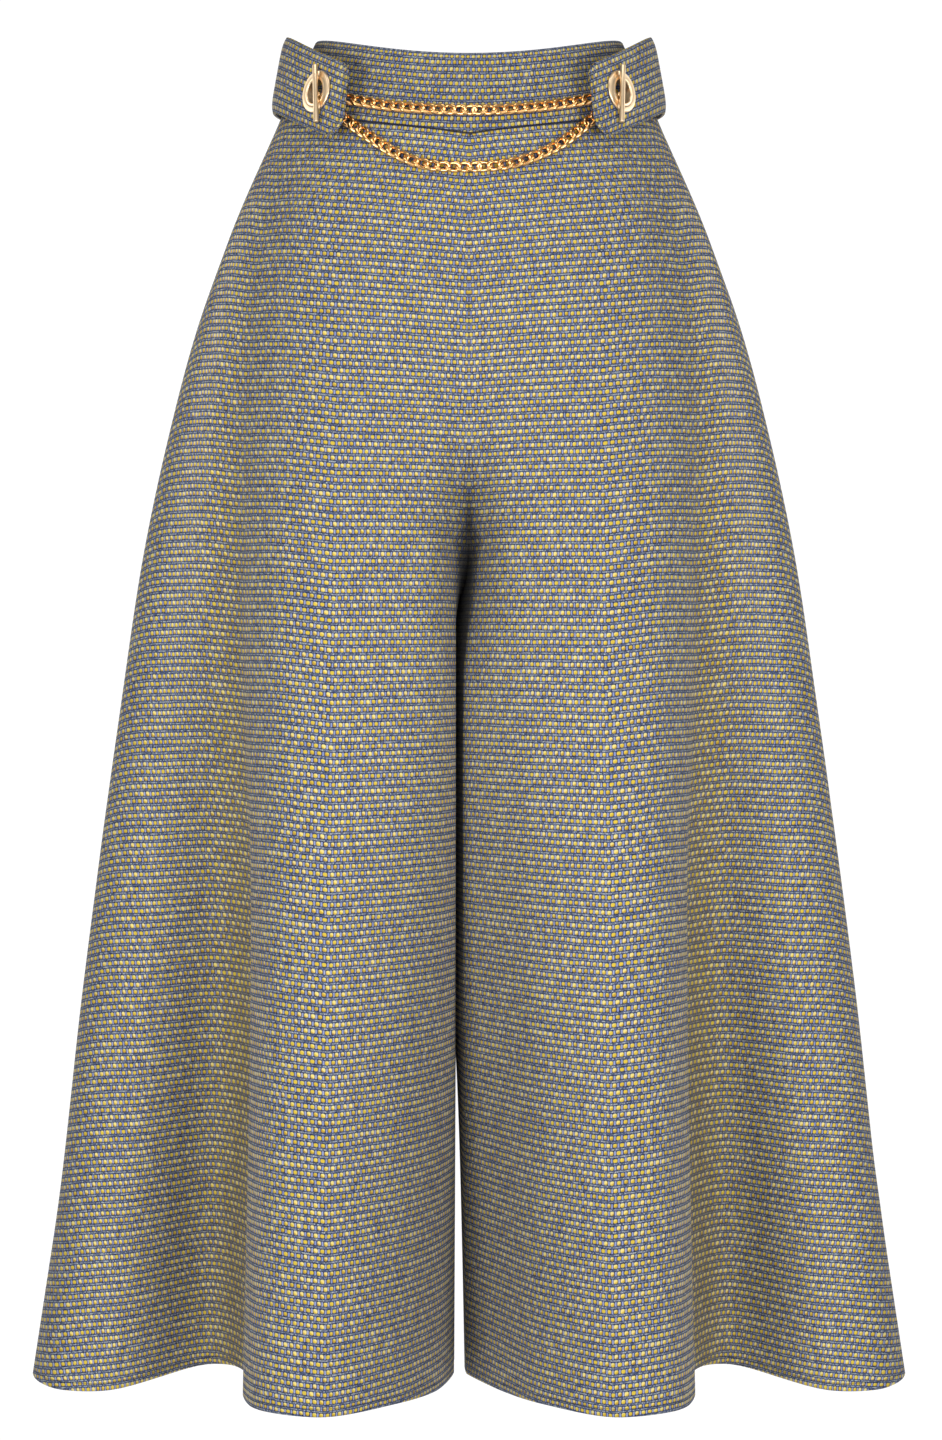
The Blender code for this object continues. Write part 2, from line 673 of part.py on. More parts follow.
def toggle(side, hand):
    """A bar across the ring, on a stem through it that ends in the eye that the chains hook into."""
    upright = Matrix.Translation((0, 0, BAR_STAND)) @ Matrix.Rotation(math.radians(90), 4, "X")
    made = bar_object(f"toggle_{hand}", BAR_LENGTH, BAR_RADIUS, BAR_SIDES, upright)
    made.matrix_world = toggle_place(side)
    stem_length = BAR_STAND + EYE_DEPTH
    stem = Matrix.Translation((0, 0, BAR_STAND - stem_length / 2))
    joined_to(made, f"stem_{hand}", stem_length, STEM_RADIUS, STEM_SIDES, stem)
    eye = Matrix.Translation((0, 0, -EYE_DEPTH))
    joined_to(made, f"eye_{hand}", EYE_THICKNESS, EYE_RADIUS, EYE_SIDES, eye)
    return made


def chain(name, route):
    """A tube whose points lie a few diameters apart on a smooth curve through the route."""
    spots = [Vector(spot) * MM for spot in route]
    before, after = spots[0] * 2 - spots[1], spots[-1] * 2 - spots[-2]
    fine = curve_through([before] + spots + [after], CHAIN_FINENESS)
    lengths = [0.0]
    for start, end in zip(fine, fine[1:]):
        lengths.append(lengths[-1] + (end - start).length)
    count = round(lengths[-1] / (CHAIN_STEP * CHAIN_DIAMETER))
    curve = bpy.data.curves.new(name, "CURVE")
    curve.dimensions = "3D"
    curve.bevel_depth = CHAIN_DIAMETER / 2
    curve.bevel_resolution = CHAIN_BEVEL
    curve.use_fill_caps = True
    spline = curve.splines.new("POLY")
    spline.points.add(count)
    places = np.linspace(0, lengths[-1], count + 1)
    axes = [np.interp(places, lengths, axis) for axis in zip(*fine)]
    for point, *place in zip(spline.points, *axes):
        point.co = (*place, 1.0)
    made = bpy.data.objects.new(name, curve)
    bpy.context.scene.collection.objects.link(made)
    curve.materials.append(gold_material())
    return made


def main():
    for old in list(bpy.data.objects):
        bpy.data.objects.remove(old, do_unlink=True)
    for side, hand in ((-1, "right"), (1, "left")):
        leg_panels(side, hand)
    for is_front in (True, False):
        waistband(is_front)
    belt()
    for side, hand in ((-1, "right"), (1, "left")):
        eyelet(side, hand)
        toggle(side, hand)
    chain("chain_upper", UPPER_CHAIN)
    chain("chain_lower", LOWER_CHAIN)


main()
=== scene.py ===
"""The looks of a pair of wide-leg tweed culottes, filled out as if worn: cloth shells with a basket weave,
rounded edges and creases, ring eyelets, T-bar toggles and two curb chains of separate links.

Metres, +Z up, front towards -Y. "Right" is the wearer's right, at -X."""

import math
from collections import namedtuple

import bpy
import numpy as np
from mathutils import Matrix, Vector


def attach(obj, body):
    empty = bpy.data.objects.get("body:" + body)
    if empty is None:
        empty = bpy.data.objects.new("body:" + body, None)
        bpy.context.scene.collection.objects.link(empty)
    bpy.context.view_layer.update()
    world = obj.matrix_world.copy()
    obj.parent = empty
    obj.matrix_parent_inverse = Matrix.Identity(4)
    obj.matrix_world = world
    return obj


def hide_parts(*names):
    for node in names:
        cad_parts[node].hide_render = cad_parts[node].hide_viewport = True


MM = 0.001
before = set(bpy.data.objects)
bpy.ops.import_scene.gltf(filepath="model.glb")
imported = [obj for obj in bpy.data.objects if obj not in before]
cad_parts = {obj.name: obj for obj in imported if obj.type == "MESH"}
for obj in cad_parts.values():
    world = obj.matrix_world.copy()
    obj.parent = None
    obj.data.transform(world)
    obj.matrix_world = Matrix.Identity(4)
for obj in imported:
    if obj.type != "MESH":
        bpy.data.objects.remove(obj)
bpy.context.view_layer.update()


# --- Camera and light

CAMERA_DISTANCE = 3.2
CAMERA_HEIGHT = -0.410
PHOTO_HEIGHT = 1440
METRES_A_PIXEL = 0.00066
SENSOR = 36.0
FRAME_SHIFT_X, FRAME_SHIFT_Y = 2 / PHOTO_HEIGHT, -20 / PHOTO_HEIGHT
FLOOR_HEIGHT, FLOOR_SIZE = -1.30, 5.0
WORLD_SEEN, WORLD_MIRRORED, WORLD_GLOW = 1.05, 0.36, 0.10


def table(columns, *rows):
    """Rows of values with named columns."""
    row_of = namedtuple("Row", columns)
    return tuple(row_of(*row) for row in rows)


SOFTBOXES = table(
    "name place aim size power",
    ("softbox_-1", (-0.85, -1.40, -0.34), (0.0, 0.0, -0.40), (0.5, 0.6), 10.4),
    ("strip_-1", (-1.8, 0.45, 0.5), (0.0, 0.0, -0.02), (0.5, 0.7), 4.0),
    ("softbox_1", (0.85, -1.40, -0.34), (0.0, 0.0, -0.40), (0.5, 0.6), 10.4),
    ("strip_1", (1.8, 0.45, 0.5), (0.0, 0.0, -0.02), (0.5, 0.7), 4.0),
    ("panel_front", (0.0, -4.2, 0.45), (0.0, 0.0, -0.2), (2.6, 3.4), 32.0),
    ("softbox_top", (0.0, -0.85, 1.3), (0.0, -0.1, -0.1), (1.4, 0.35), 5.5),
    ("softbox_behind", (0.0, 2.4, -0.2), (0.0, 0.0, -0.4), (2.0, 1.6), 24.0),
)


def added(name, data):
    """A new object in the scene from its data."""
    made = bpy.data.objects.new(name, data)
    bpy.context.scene.collection.objects.link(made)
    return made


def add_camera():
    camera = added("camera", bpy.data.cameras.new("camera"))
    bpy.context.scene.camera = camera
    camera.location = (0.0, -CAMERA_DISTANCE, CAMERA_HEIGHT)
    camera.rotation_euler = (math.radians(90), 0.0, 0.0)
    lens = camera.data
    lens.sensor_fit = "VERTICAL"
    lens.sensor_height = SENSOR
    lens.lens = CAMERA_DISTANCE * SENSOR / (METRES_A_PIXEL * PHOTO_HEIGHT)
    lens.shift_x, lens.shift_y = FRAME_SHIFT_X, FRAME_SHIFT_Y


def add_softbox(box):
    light = added(box.name, bpy.data.lights.new(box.name, "AREA"))
    light.data.shape = "RECTANGLE"
    light.data.size, light.data.size_y = box.size
    light.data.energy = box.power
    light.location = box.place
    light.rotation_euler = (Vector(box.aim) - Vector(box.place)).to_track_quat("-Z", "Y").to_euler()


def add_room():
    """Softboxes all round, a pale floor, and a white world that is full to the camera, dimmer in polished
    metal, and weak as light on the cloth."""
    for box in SOFTBOXES:
        add_softbox(box)
    world = bpy.data.worlds.new("white_room")
    bpy.context.scene.world = world
    world.use_nodes = True
    nodes, links = world.node_tree.nodes, world.node_tree.links
    nodes.clear()

    def white(strength):
        made = nodes.new("ShaderNodeBackground")
        made.inputs["Color"].default_value = (1.0, 1.0, 1.0, 1.0)
        made.inputs["Strength"].default_value = strength
        return made.outputs[0]

    path = nodes.new("ShaderNodeLightPath")
    shown = white(WORLD_GLOW)
    for ray, strength in (("Is Glossy Ray", WORLD_MIRRORED), ("Is Camera Ray", WORLD_SEEN)):
        mix = nodes.new("ShaderNodeMixShader")
        for output, socket in zip((path.outputs[ray], shown, white(strength)), mix.inputs):
            links.new(output, socket)
        shown = mix.outputs[0]
    links.new(shown, nodes.new("ShaderNodeOutputWorld").inputs["Surface"])
    bpy.ops.mesh.primitive_plane_add(size=FLOOR_SIZE, location=(0.0, 0.0, FLOOR_HEIGHT))
    floor = bpy.context.object
    floor.name = "floor"
    floor.data.materials.append(floor_finish())


# --- Shader maths


class Value:
    """One output of a shader node, so that maths on it reads as a plain expression."""

    def __init__(self, finish, socket):
        self.finish, self.socket = finish, socket

    def maths(self, operation, *values):
        return self.finish.node("ShaderNodeMath", {"operation": operation}, *values)

    def rising(self, start, end):
        """0 before start, 1 after end, smooth in between. With start above end it falls."""
        low, high = (start, end) if start < end else (end, start)
        settings = {"interpolation_type": "SMOOTHSTEP"}
        ends = {"From Min": low, "From Max": high}
        if start > end:
            ends.update({"To Min": 1.0, "To Max": 0.0})
        return self.finish.node("ShaderNodeMapRange", settings, self, **ends)


def in_order(operation):
    return lambda *values: values[0].maths(operation, *values)


def swapped(operation):
    return lambda value, other: value.maths(operation, other, value)


for method, way, operation in (
    ("__add__", in_order, "ADD"),
    ("__radd__", swapped, "ADD"),
    ("__sub__", in_order, "SUBTRACT"),
    ("__rsub__", swapped, "SUBTRACT"),
    ("__mul__", in_order, "MULTIPLY"),
    ("__truediv__", in_order, "DIVIDE"),
    ("__pow__", in_order, "POWER"),
    ("__mod__", in_order, "FLOORED_MODULO"),
    ("__abs__", in_order, "ABSOLUTE"),
    ("floor", in_order, "FLOOR"),
    ("most", in_order, "MAXIMUM"),
    ("least", in_order, "MINIMUM"),
):
    setattr(Value, method, way(operation))


class Finish:
    """A material under construction."""

    def __init__(self, name, colour, roughness, metallic=0.0):
        self.material = bpy.data.materials.new(name)
        self.material.use_nodes = True
        self.material.diffuse_color = (*colour, 1.0)
        self.tree = self.material.node_tree
        self.shader = self.tree.nodes["Principled BSDF"]
        self.set("Base Color", (*colour, 1.0))
        self.set("Roughness", roughness)
        self.set("Metallic", metallic)

    def set(self, socket, value):
        """Gives one of the shader's sockets a value or a link."""
        self.join(value, self.shader.inputs[socket])

    def join(self, value, socket):
        if isinstance(value, Value):
            self.tree.links.new(value.socket, socket)
        else:
            socket.default_value = value

    def node(self, kind, settings, *values, output=0, **named):
        """Adds a node: its settings first, then values or links for its sockets, in order or by name."""
        made = self.tree.nodes.new(kind)
        for key, setting in settings.items():
            setattr(made, key, setting)
        for socket, value in zip(made.inputs, values):
            self.join(value, socket)
        for key, value in named.items():
            self.join(value, made.inputs[key])
        return Value(self, made.outputs[output])

    def layer(self, name):
        """A UV map's two coordinates, as two values."""
        flat = self.node("ShaderNodeUVMap", {"uv_map": name})
        return [self.node("ShaderNodeSeparateXYZ", {}, flat, output=axis) for axis in (0, 1)]

    def point(self, x, y, z=0.0):
        return self.node("ShaderNodeCombineXYZ", {}, x, y, z)

    def noise(self, place, scale, detail=2.0):
        return self.node("ShaderNodeTexNoise", {}, Vector=place, Scale=scale, Detail=detail)

    def chance(self, place):
        """A steady random number from 0 to 1 for each whole place."""
        return self.node("ShaderNodeTexWhiteNoise", {"noise_dimensions": "2D"}, Vector=place)

    def blend(self, share, low, high):
        """One colour turning into another as share goes from 0 to 1."""
        made = self.tree.nodes.new("ShaderNodeMix")
        made.data_type = "RGBA"
        for socket, value in ((made.inputs["Factor"], share), (made.inputs[6], low), (made.inputs[7], high)):
            self.join((*value, 1.0) if isinstance(value, tuple) else value, socket)
        return Value(self, made.outputs[2])

    def bump(self, height, distance, strength):
        made = self.node("ShaderNodeBump", {}, Height=height, Distance=distance, Strength=strength)
        self.set("Normal", made)


# --- Finishes

DOT_PITCH = 3.8 * MM
ROW_PITCH = 4.7 * MM
YELLOW = (0.76, 0.57, 0.055)
DOT_PAINTED_HIGHLIGHT = (0.95, 0.84, 0.36)
DOT_PAINTED_SHADE = (0.52, 0.32, 0.025)
LAVENDER = (0.26, 0.31, 0.60)
LAVENDER_PALE = (0.48, 0.52, 0.74)
NAVY = (0.012, 0.018, 0.060)
SLATE = (0.11, 0.15, 0.28)
PALE_THREAD = (0.50, 0.54, 0.56)
SEAM_SHADE = (0.010, 0.012, 0.030)
FOLD_PAINTED_SHADE = (0.21, 0.16, 0.060)
HOLLOW_SHADE = (0.008, 0.009, 0.014)
CHAIN_GOLD, CHAIN_GLOSS = (0.86, 0.50, 0.20), 0.09
RING_GOLD, RING_GLOSS = (0.95, 0.72, 0.46), 0.32
MARK_SCALE, MARK_DEPTH, WEAR_SCALE, WORN_SHADE = 420.0, 0.06, 90.0, 0.86

# The weave's sizes, in shares of the way from dot to dot or from row to row
WANDER_SCALE, RIPPLE_SCALE, PATCH_SCALE, FIBRE_SCALE = 30.0, 260.0, 520.0, 1800.0
ROW_WANDER, ROW_RIPPLE, DOT_WANDER, DOT_RIPPLE = 0.16, 0.10, 0.22, 0.12
DOT_HALF_WIDTH, DOT_HALF_HEIGHT, DOT_GROWTH, DOT_SHIFT = 0.265, 0.255, 0.04, 0.05
THREADS_A_DOT, THREADS_A_ROW, THREAD_STAGGER = 4.0, 6.0, 0.41
PATCH_FROM, PATCH_GAIN = 0.30, 3.2
PRESS_LINE = 4.6 * MM


def tweed_finish():
    """Basket tweed on the flat cut: rows of yellow dots with lavender between, parted by navy, and fine pale
    threads between the rows. The second layer, "edges", holds each point's way from a seam and from the hem.
    The third, "folds", says how far the cloth lies in a deep fold, where painted shade turns the threads
    between the dots darker and yellower, and how much painted shade darkens its colour, most of all in the
    hollow at the fork."""
    finish = Finish("tweed", SLATE, 0.9)
    across, up = finish.layer("cut")
    from_seam, from_hem = finish.layer("edges")
    fold_painted_shade, hollow_painted_shade = finish.layer("folds")
    place = finish.point(across, up)
    wander = finish.noise(place, WANDER_SCALE) - 0.5
    ripple = finish.noise(place, RIPPLE_SCALE) - 0.5
    row_place = up / ROW_PITCH + wander * ROW_WANDER + ripple * ROW_RIPPLE
    row = row_place.floor()
    off_row = row_place - row - 0.5
    dot_place = across / DOT_PITCH + (row % 2.0) * 0.5 + wander * DOT_WANDER + ripple * DOT_RIPPLE
    dot = dot_place.floor()
    off_dot = dot_place - dot - 0.5
    luck = finish.chance(finish.point(dot, row))
    luck_too = finish.chance(finish.point(dot + 71.0, row + 13.0))

    wide = abs(off_dot + (luck_too - 0.5) * DOT_SHIFT) / (DOT_HALF_WIDTH + luck * DOT_GROWTH)
    tall = abs(off_row + (luck - 0.5) * DOT_SHIFT) / (DOT_HALF_HEIGHT + luck_too * DOT_GROWTH)
    from_dot = (wide**3.0 + tall**3.0) ** (1 / 3)
    is_dot = from_dot.rising(1.06, 0.90)
    in_row = abs(off_row).rising(0.295, 0.255)
    is_between = abs(off_dot).rising(0.345, 0.385) * in_row

    thread_row = (row_place * THREADS_A_ROW + 0.5).floor()
    thread_place = across / DOT_PITCH * THREADS_A_DOT + thread_row * THREAD_STAGGER + ripple * 0.8
    thread = thread_place.floor()
    off_thread = thread_place - thread - 0.5
    fleck = finish.chance(finish.point(thread, thread_row))
    is_middle = abs(off_row).rising(0.385, 0.425)
    is_thread = abs(off_thread).rising(0.46, 0.34)
    patch = (finish.noise(place, PATCH_SCALE) - PATCH_FROM).most(0.0) * PATCH_GAIN
    pale = is_middle * is_thread * (fleck * 1.5).least(1.0) * patch.least(1.0)
    dusky = (1.0 - is_middle) * is_thread * fleck

    cloth = finish.blend(dusky * 0.9, NAVY, SLATE)
    cloth = finish.blend(is_middle * 0.45, cloth, SLATE)
    cloth = finish.blend(pale, cloth, PALE_THREAD)
    cloth = finish.blend(in_row * 0.85, cloth, NAVY)
    cloth = finish.blend(is_between, cloth, finish.blend(luck * luck_too, LAVENDER, LAVENDER_PALE))
    # Painted light and shade on each dot: lighter yellow on one side and ochre on the other, with a painted
    # highlight near one corner.
    dot_painted_light = (off_row * 1.3 - off_dot * 0.9 + luck * 0.7).rising(-0.35, 0.45)
    gold = finish.blend(dot_painted_light, DOT_PAINTED_SHADE, YELLOW)
    dot_painted_highlight = (off_row * 1.6 - off_dot * 0.9 + luck_too * 0.8).rising(0.35, 0.85)
    gold = finish.blend(dot_painted_highlight * 0.7, gold, DOT_PAINTED_HIGHLIGHT)
    cloth = finish.blend(is_dot, cloth, gold)
    # Painted shade in the deep folds: the cloth between the dots turns darker and yellower.
    cloth = finish.blend(fold_painted_shade * 0.45, cloth, finish.blend(is_dot, FOLD_PAINTED_SHADE, gold))
    # Painted shade in a thin line along the seams, and half as strong along the hem's press line.
    seam_line = from_seam.rising(0.7 * MM, 0.2 * MM)
    press_line = abs(from_hem - PRESS_LINE).rising(0.9 * MM, 0.3 * MM)
    cloth = finish.blend(seam_line.most(press_line * 0.5) * 0.85, cloth, SEAM_SHADE)
    # Painted shade that darkens the colour, most of all in the hollow at the fork.
    finish.set("Base Color", finish.blend(hollow_painted_shade * 0.85, cloth, HOLLOW_SHADE))
    finish.set("Roughness", 0.92 - is_dot * 0.20)
    for socket, value in (("Sheen Weight", 0.08), ("Sheen Roughness", 0.5), ("Specular IOR Level", 0.25)):
        finish.set(socket, value)
    fibres = finish.noise(place, FIBRE_SCALE)
    relief = is_dot * (1.5 - from_dot * 0.6) + is_between * 0.6 + pale * 0.5 + fibres * 0.25
    finish.bump(relief - press_line * 0.8 - seam_line * 1.2, 0.30 * MM, 0.7)
    return finish.material


def gold_finish(name, colour, roughness):
    """Polished plating, with faint hand marks in its gloss."""
    finish = Finish(name, colour, roughness, 1.0)
    place = finish.node("ShaderNodeTexCoord", {}, output=3)
    marks = finish.noise(place, MARK_SCALE, 4.0)
    finish.set("Roughness", roughness + (marks - 0.5) * MARK_DEPTH)
    worn = finish.noise(place, WEAR_SCALE, 3.0).rising(0.35, 0.75)
    finish.set("Base Color", finish.blend(worn * 0.5, colour, tuple(part * WORN_SHADE for part in colour)))
    finish.bump(marks, 0.02 * MM, 0.4)
    return finish.material


def floor_finish():
    finish = Finish("pale_floor", (0.92, 0.92, 0.92), 0.9)
    place = finish.node("ShaderNodeTexCoord", {}, output=3)
    finish.set("Base Color", finish.blend(finish.noise(place, 3.0), (0.90, 0.90, 0.90), (0.94, 0.94, 0.94)))
    return finish.material


# --- The cloth's own sizes

SEAM_GAP = -0.4 * MM
PANEL_CLOTH = 2.0 * MM
HEM_EXTRA = 1.3 * MM
HEM_TURN_UP = 0.030
BAND_CLOTH = 2.5 * MM
BELT_CLOTH = 3.0 * MM
SEAM_ROLL = 0.25 * MM
CENTRE_ROLL = 0.22 * MM

BAND_RISE, BAND_FALL = 0.0235, 0.026
BAND_TOP_SIDE, BAND_TOP_FORE = 0.101, 0.094
BAND_FOOT_SIDE, BAND_FOOT_FORE = 0.1238, 0.105
TOP_DIP = 0.0185
SEAM_DIP, SEAM_DIP_POWER = 0.022, 1.2
DIP_REACH = 0.134
HEM = -0.855
FORK_FRONT = -0.298
FORK_DROP = 0.040
LAST_WHOLE_ROW = -0.259
UPPER_ROWS, LOWER_ROWS = 56, 96
LOWER_ROWS_CROWDED = 1.4
SPAN_STEPS = 8
WALL_STEPS = 12
HEM_LIFT_POWER = 3

SIDE_LINE = table(
    "height half",
    (-0.080, 0.1465),
    (-0.160, 0.1775),
    (-0.240, 0.1990),
    (-0.300, 0.2120),
    (-0.420, 0.2305),
    (-0.600, 0.2550),
    (-0.740, 0.2710),
    (-0.855, 0.2880),
)

# Each fold line runs down the cloth from an angle round the waist (0 at the centre, 90 at the side). It lies
# so many mm out from the centre and deep from the middle at each level, and lifts at the hem.
LEVELS = (-0.100, -0.220, -0.340, -0.560, -0.855)
FOLD = "name waist_angle out deep hem_lift"
FRONT_FOLDS = table(
    FOLD,
    ("centre", 0, (0, 0, 0, 0, 0), (116, 120, 106, 82, 30), 4.0),
    ("corner", 9, (22, 22, 19, 21, 21), (117, 127, 128, 118, 86), 0.6),
    ("shoulder", 20, (49, 50, 47, 48, 47), (117, 133, 145, 149, 140), 0.0),
    ("crest", 32, (78, 83, 85, 88, 90), (110, 133, 151, 166, 176), -2.6),
    ("turn", 44, (105, 113, 117, 122, 127), (94, 117, 136, 148, 162), -1.4),
    ("flank", 54, (121, 133, 137, 138.5, 143.5), (78, 97, 109, 108, 112), -1.0),
    ("valley", 63, (134, 148, 150, 142, 147), (61, 78, 84, 66, 50), 9.0),
    ("edge", 71, (143, 164, 170, 166, 172), (46, 60, 68, 44, 8), 7.3),
    ("lobe", 78, (149.5, 178, 194, 212, 232), (31, 42, 56, 56, 60), -2.2),
    ("brow", 84.5, (153.5, 189, 211, 240, 266), (16, 22, 34, 38, 56), -2.2),
)
BACK_FOLDS = table(
    FOLD,
    ("centre", 0, (0, 0, 0, 0, 0), (123, 135, 122, 85, 32), 4.0),
    ("corner", 9, (21, 21, 19, 20, 20), (124, 142, 141, 128, 94), 1.0),
    ("shoulder", 20, (47, 48, 46, 47, 47), (122, 147, 156, 158, 150), 1.0),
    ("crest", 32, (76, 82, 85, 87, 88), (115, 145, 161, 175, 188), -2.0),
    ("turn", 44, (103, 111, 118, 124, 128), (99, 131, 148, 163, 178), 0.0),
    ("flank", 54, (120, 132, 141, 147, 151), (83, 111, 126, 133, 136), 2.0),
    ("valley", 63, (132, 148, 157, 158, 158), (67, 90, 104, 104, 84), 8.0),
    ("edge", 71, (142, 163, 176, 178, 182), (51, 70, 84, 88, 58), 6.0),
    ("lobe", 78, (149, 178, 196, 212, 228), (35, 48, 64, 84, 88), -1.0),
    ("brow", 84.5, (153.3, 189, 211, 240, 266), (18, 26, 38, 52, 72), -1.0),
)

# How the weave lies. Depth counts less than it is, most of all at the flare, so that the dots keep more of
# their spacing where the cloth turns away from the front. The rows tilt from the grain's fold to the inseam.
GRAIN_FOLD = "crest"
GRAIN_REACH = 12
WEAVE_DEPTH = 0.75
CHEVRON_HEIGHTS = (-0.03, -0.15, -0.29, -0.45, -0.65, -0.855)
CHEVRON_TILTS = (0.13, 0.07, 0.0, -0.03, -0.08, -0.11)
FLARE_WEAVE_SHARES = (0.50, 0.62, 0.90, 1.0)
FLARE_WEAVE_DEPTHS = (0.75, 0.52, 0.52, 0.75)

# The gap between the legs at their front and back edges: its middle's lean and its half width, in mm
GAP_LINE = table(
    "height lean half",
    (-0.298, 0.0, -0.2),
    (-0.309, -0.9, 7.5),
    (-0.328, -2.7, 5.7),
    (-0.355, -4.0, 4.4),
    (-0.390, -5.8, 2.6),
    (-0.448, -6.1, 2.3),
    (-0.600, -6.1, 2.6),
    (-0.855, -5.9, 3.9),
)
WALL_SHUT = 0.5 * MM
WALL_SHUT_TO = -0.62
WALL_HALF_AT_HEM = 4.2 * MM
WALL_OPENS_POWER = 0.45
WALL_CLOSES_POWER = 3
WALL_BOW = -6.5 * MM
WALL_BOW_AT_HEM = -1.2 * MM
SADDLE_ROWS = 6
SADDLE_POWER = 1.5
SADDLE_OF = 11

# The cloth sinks in round the fork, front and back
FUNNEL_HEIGHT, FUNNEL_HALF, FUNNEL_TALL, FUNNEL_DEPTH = -0.312, 0.016, 0.040, 0.20

# At the hips the cloth turns more to the front at the flare, and sinks along the fold beside it
FLARE_SHARE, FLARE_HALF, FLARE_OUT = 0.88, 0.13, 22.0 * MM
FLARE_FOLD_SHARE, FLARE_FOLD_HALF, FLARE_FOLD_IN = 0.60, 0.07, 8.0 * MM
FLARE_HEIGHTS = (-0.035, -0.105, -0.330, -0.450)
BACK_FLARE, FLARE_SEAM_POWER = 0.6, 12

# Soft troughs (depth above 0) and ridges in a panel's cloth. Each runs from one place to another: the share
# of the way from the centre line to the side seam, and the height. Width and depth are in mm. A whole share
# counts as PANEL_REACH metres, and a crease fades towards its ends.
PANEL_REACH = 0.30
CREASE_FADE_RISE, CREASE_FADE_FROM = 4, 0.6
CREASE = "from_share from_height to_share to_height width depth"
FRONT_CREASES = {
    "right": table(
        CREASE,
        (0.10, -0.085, 0.42, -0.135, 16, 0.7),
        (0.86, -0.230, 0.80, -0.420, 17, 0.9),
        (0.16, -0.300, 0.30, -0.455, 15, 0.9),
        (0.30, -0.420, 0.36, -0.700, 26, -0.8),
        (0.44, -0.560, 0.47, -0.800, 20, 0.7),
        (0.90, -0.520, 0.93, -0.800, 22, 0.8),
        (0.05, -0.190, 0.20, -0.262, 14, 0.6),
    ),
    "left": table(
        CREASE,
        (0.14, -0.090, 0.38, -0.120, 15, 0.6),
        (0.84, -0.260, 0.79, -0.390, 16, 0.9),
        (0.14, -0.305, 0.27, -0.430, 14, 0.9),
        (0.33, -0.450, 0.37, -0.660, 24, -0.7),
        (0.46, -0.600, 0.48, -0.820, 20, 0.8),
        (0.91, -0.480, 0.94, -0.720, 21, 0.9),
        (0.06, -0.205, 0.17, -0.250, 14, 0.5),
    ),
}
BACK_CREASES = {
    "right": table(
        CREASE,
        (0.12, -0.110, 0.40, -0.150, 18, 0.9),
        (0.70, -0.120, 0.55, -0.290, 19, 1.1),
        (0.18, -0.270, 0.34, -0.390, 16, 1.2),
        (0.30, -0.400, 0.37, -0.690, 27, -0.9),
        (0.88, -0.430, 0.92, -0.760, 22, 0.9),
        (0.48, -0.580, 0.50, -0.790, 20, 0.8),
    ),
    "left": table(
        CREASE,
        (0.16, -0.100, 0.43, -0.160, 17, 0.8),
        (0.74, -0.130, 0.58, -0.310, 20, 1.2),
        (0.15, -0.280, 0.30, -0.410, 15, 1.1),
        (0.34, -0.440, 0.38, -0.720, 25, -0.8),
        (0.87, -0.470, 0.93, -0.730, 22, 1.0),
        (0.46, -0.620, 0.49, -0.810, 19, 0.7),
    ),
}


# --- Cloth surfaces


def hermite(heights, values, places):
    """A smooth curve through values at falling heights, read at many places."""
    heights = -np.array(heights, float)
    values = np.array(values, float)
    places = np.clip(-np.asarray(places, float), heights[0], heights[-1])
    slopes = np.gradient(values, heights)
    index = np.clip(np.searchsorted(heights, places) - 1, 0, len(heights) - 2)
    width = heights[index + 1] - heights[index]
    t = (places - heights[index]) / width
    leave, arrive = slopes[index] * width, slopes[index + 1] * width
    near = (2 * t**3 - 3 * t**2 + 1) * values[index] + (t**3 - 2 * t**2 + t) * leave
    return near + (3 * t**2 - 2 * t**3) * values[index + 1] + (t**3 - t**2) * arrive


def placed(x, y, z):
    """Points from three coordinates, of which some may be plain numbers."""
    return np.stack(np.broadcast_arrays(x, y, z), axis=-1).astype(float)


def mixed(a, b, share):
    return a * (1 - share) + b * share


def hump(values, middle, half):
    """1 at the middle, falling away softly on both sides."""
    return np.exp(-(((values - middle) / half) ** 2))


def ramp(heights, start, full):
    """0 above the start, 1 below the full height, even in between."""
    return np.clip((start - heights) / (start - full), 0.0, 1.0)


def read_at(places, heights, values):
    """Straight lines through values at falling heights, read at many places."""
    return np.interp(-places, [-height for height in heights], values)


def curve_through(controls, steps):
    """Centripetal Catmull-Rom curves, one for each row, from the second control to the last but one."""
    found = []
    for four in zip(controls, controls[1:], controls[2:], controls[3:]):
        before, start, end, after = four
        knots = [np.zeros((len(before), 1))]
        for a, b in zip(four, four[1:]):
            knots.append(knots[-1] + np.sqrt(np.maximum(np.linalg.norm(b - a, axis=1), 1e-6))[:, None])
        t0, t1, t2, t3 = knots
        for step in range(steps):
            t = mixed(t1, t2, step / steps)
            a1 = mixed(before, start, (t - t0) / (t1 - t0))
            a2 = mixed(start, end, (t - t1) / (t2 - t1))
            a3 = mixed(end, after, (t - t2) / (t3 - t2))
            b1, b2 = mixed(a1, a2, (t - t0) / (t2 - t0)), mixed(a2, a3, (t - t1) / (t3 - t1))
            found.append(mixed(b1, b2, (t - t1) / (t2 - t1)))
    return found + [controls[-2]]


def seam_height(angle, is_front):
    return -BAND_FALL - (SEAM_DIP * (1 - angle / 90) ** SEAM_DIP_POWER if is_front else 0.0)


def top_height(angle, is_front):
    return BAND_RISE - (TOP_DIP * math.cos(math.radians(angle)) ** 2 if is_front else 0.0)


def oval(angle, side, fore, is_front):
    turn = math.radians(angle)
    return side * math.sin(turn), fore * math.cos(turn) * (-1 if is_front else 1)


def gap_edge(side, heights):
    """How far across a leg's inner front edge lies: on the centre seam above the fork."""
    levels, leans, halves = zip(*GAP_LINE)
    return read_at(heights, levels, leans) * MM + side * (read_at(heights, levels, halves) * MM)


def row_heights():
    upper = np.linspace(-BAND_FALL, FORK_FRONT, UPPER_ROWS + 1)
    shares = (np.arange(1, LOWER_ROWS + 1) / LOWER_ROWS) ** LOWER_ROWS_CROWDED
    return np.concatenate([upper, FORK_FRONT + (HEM - FORK_FRONT) * shares])


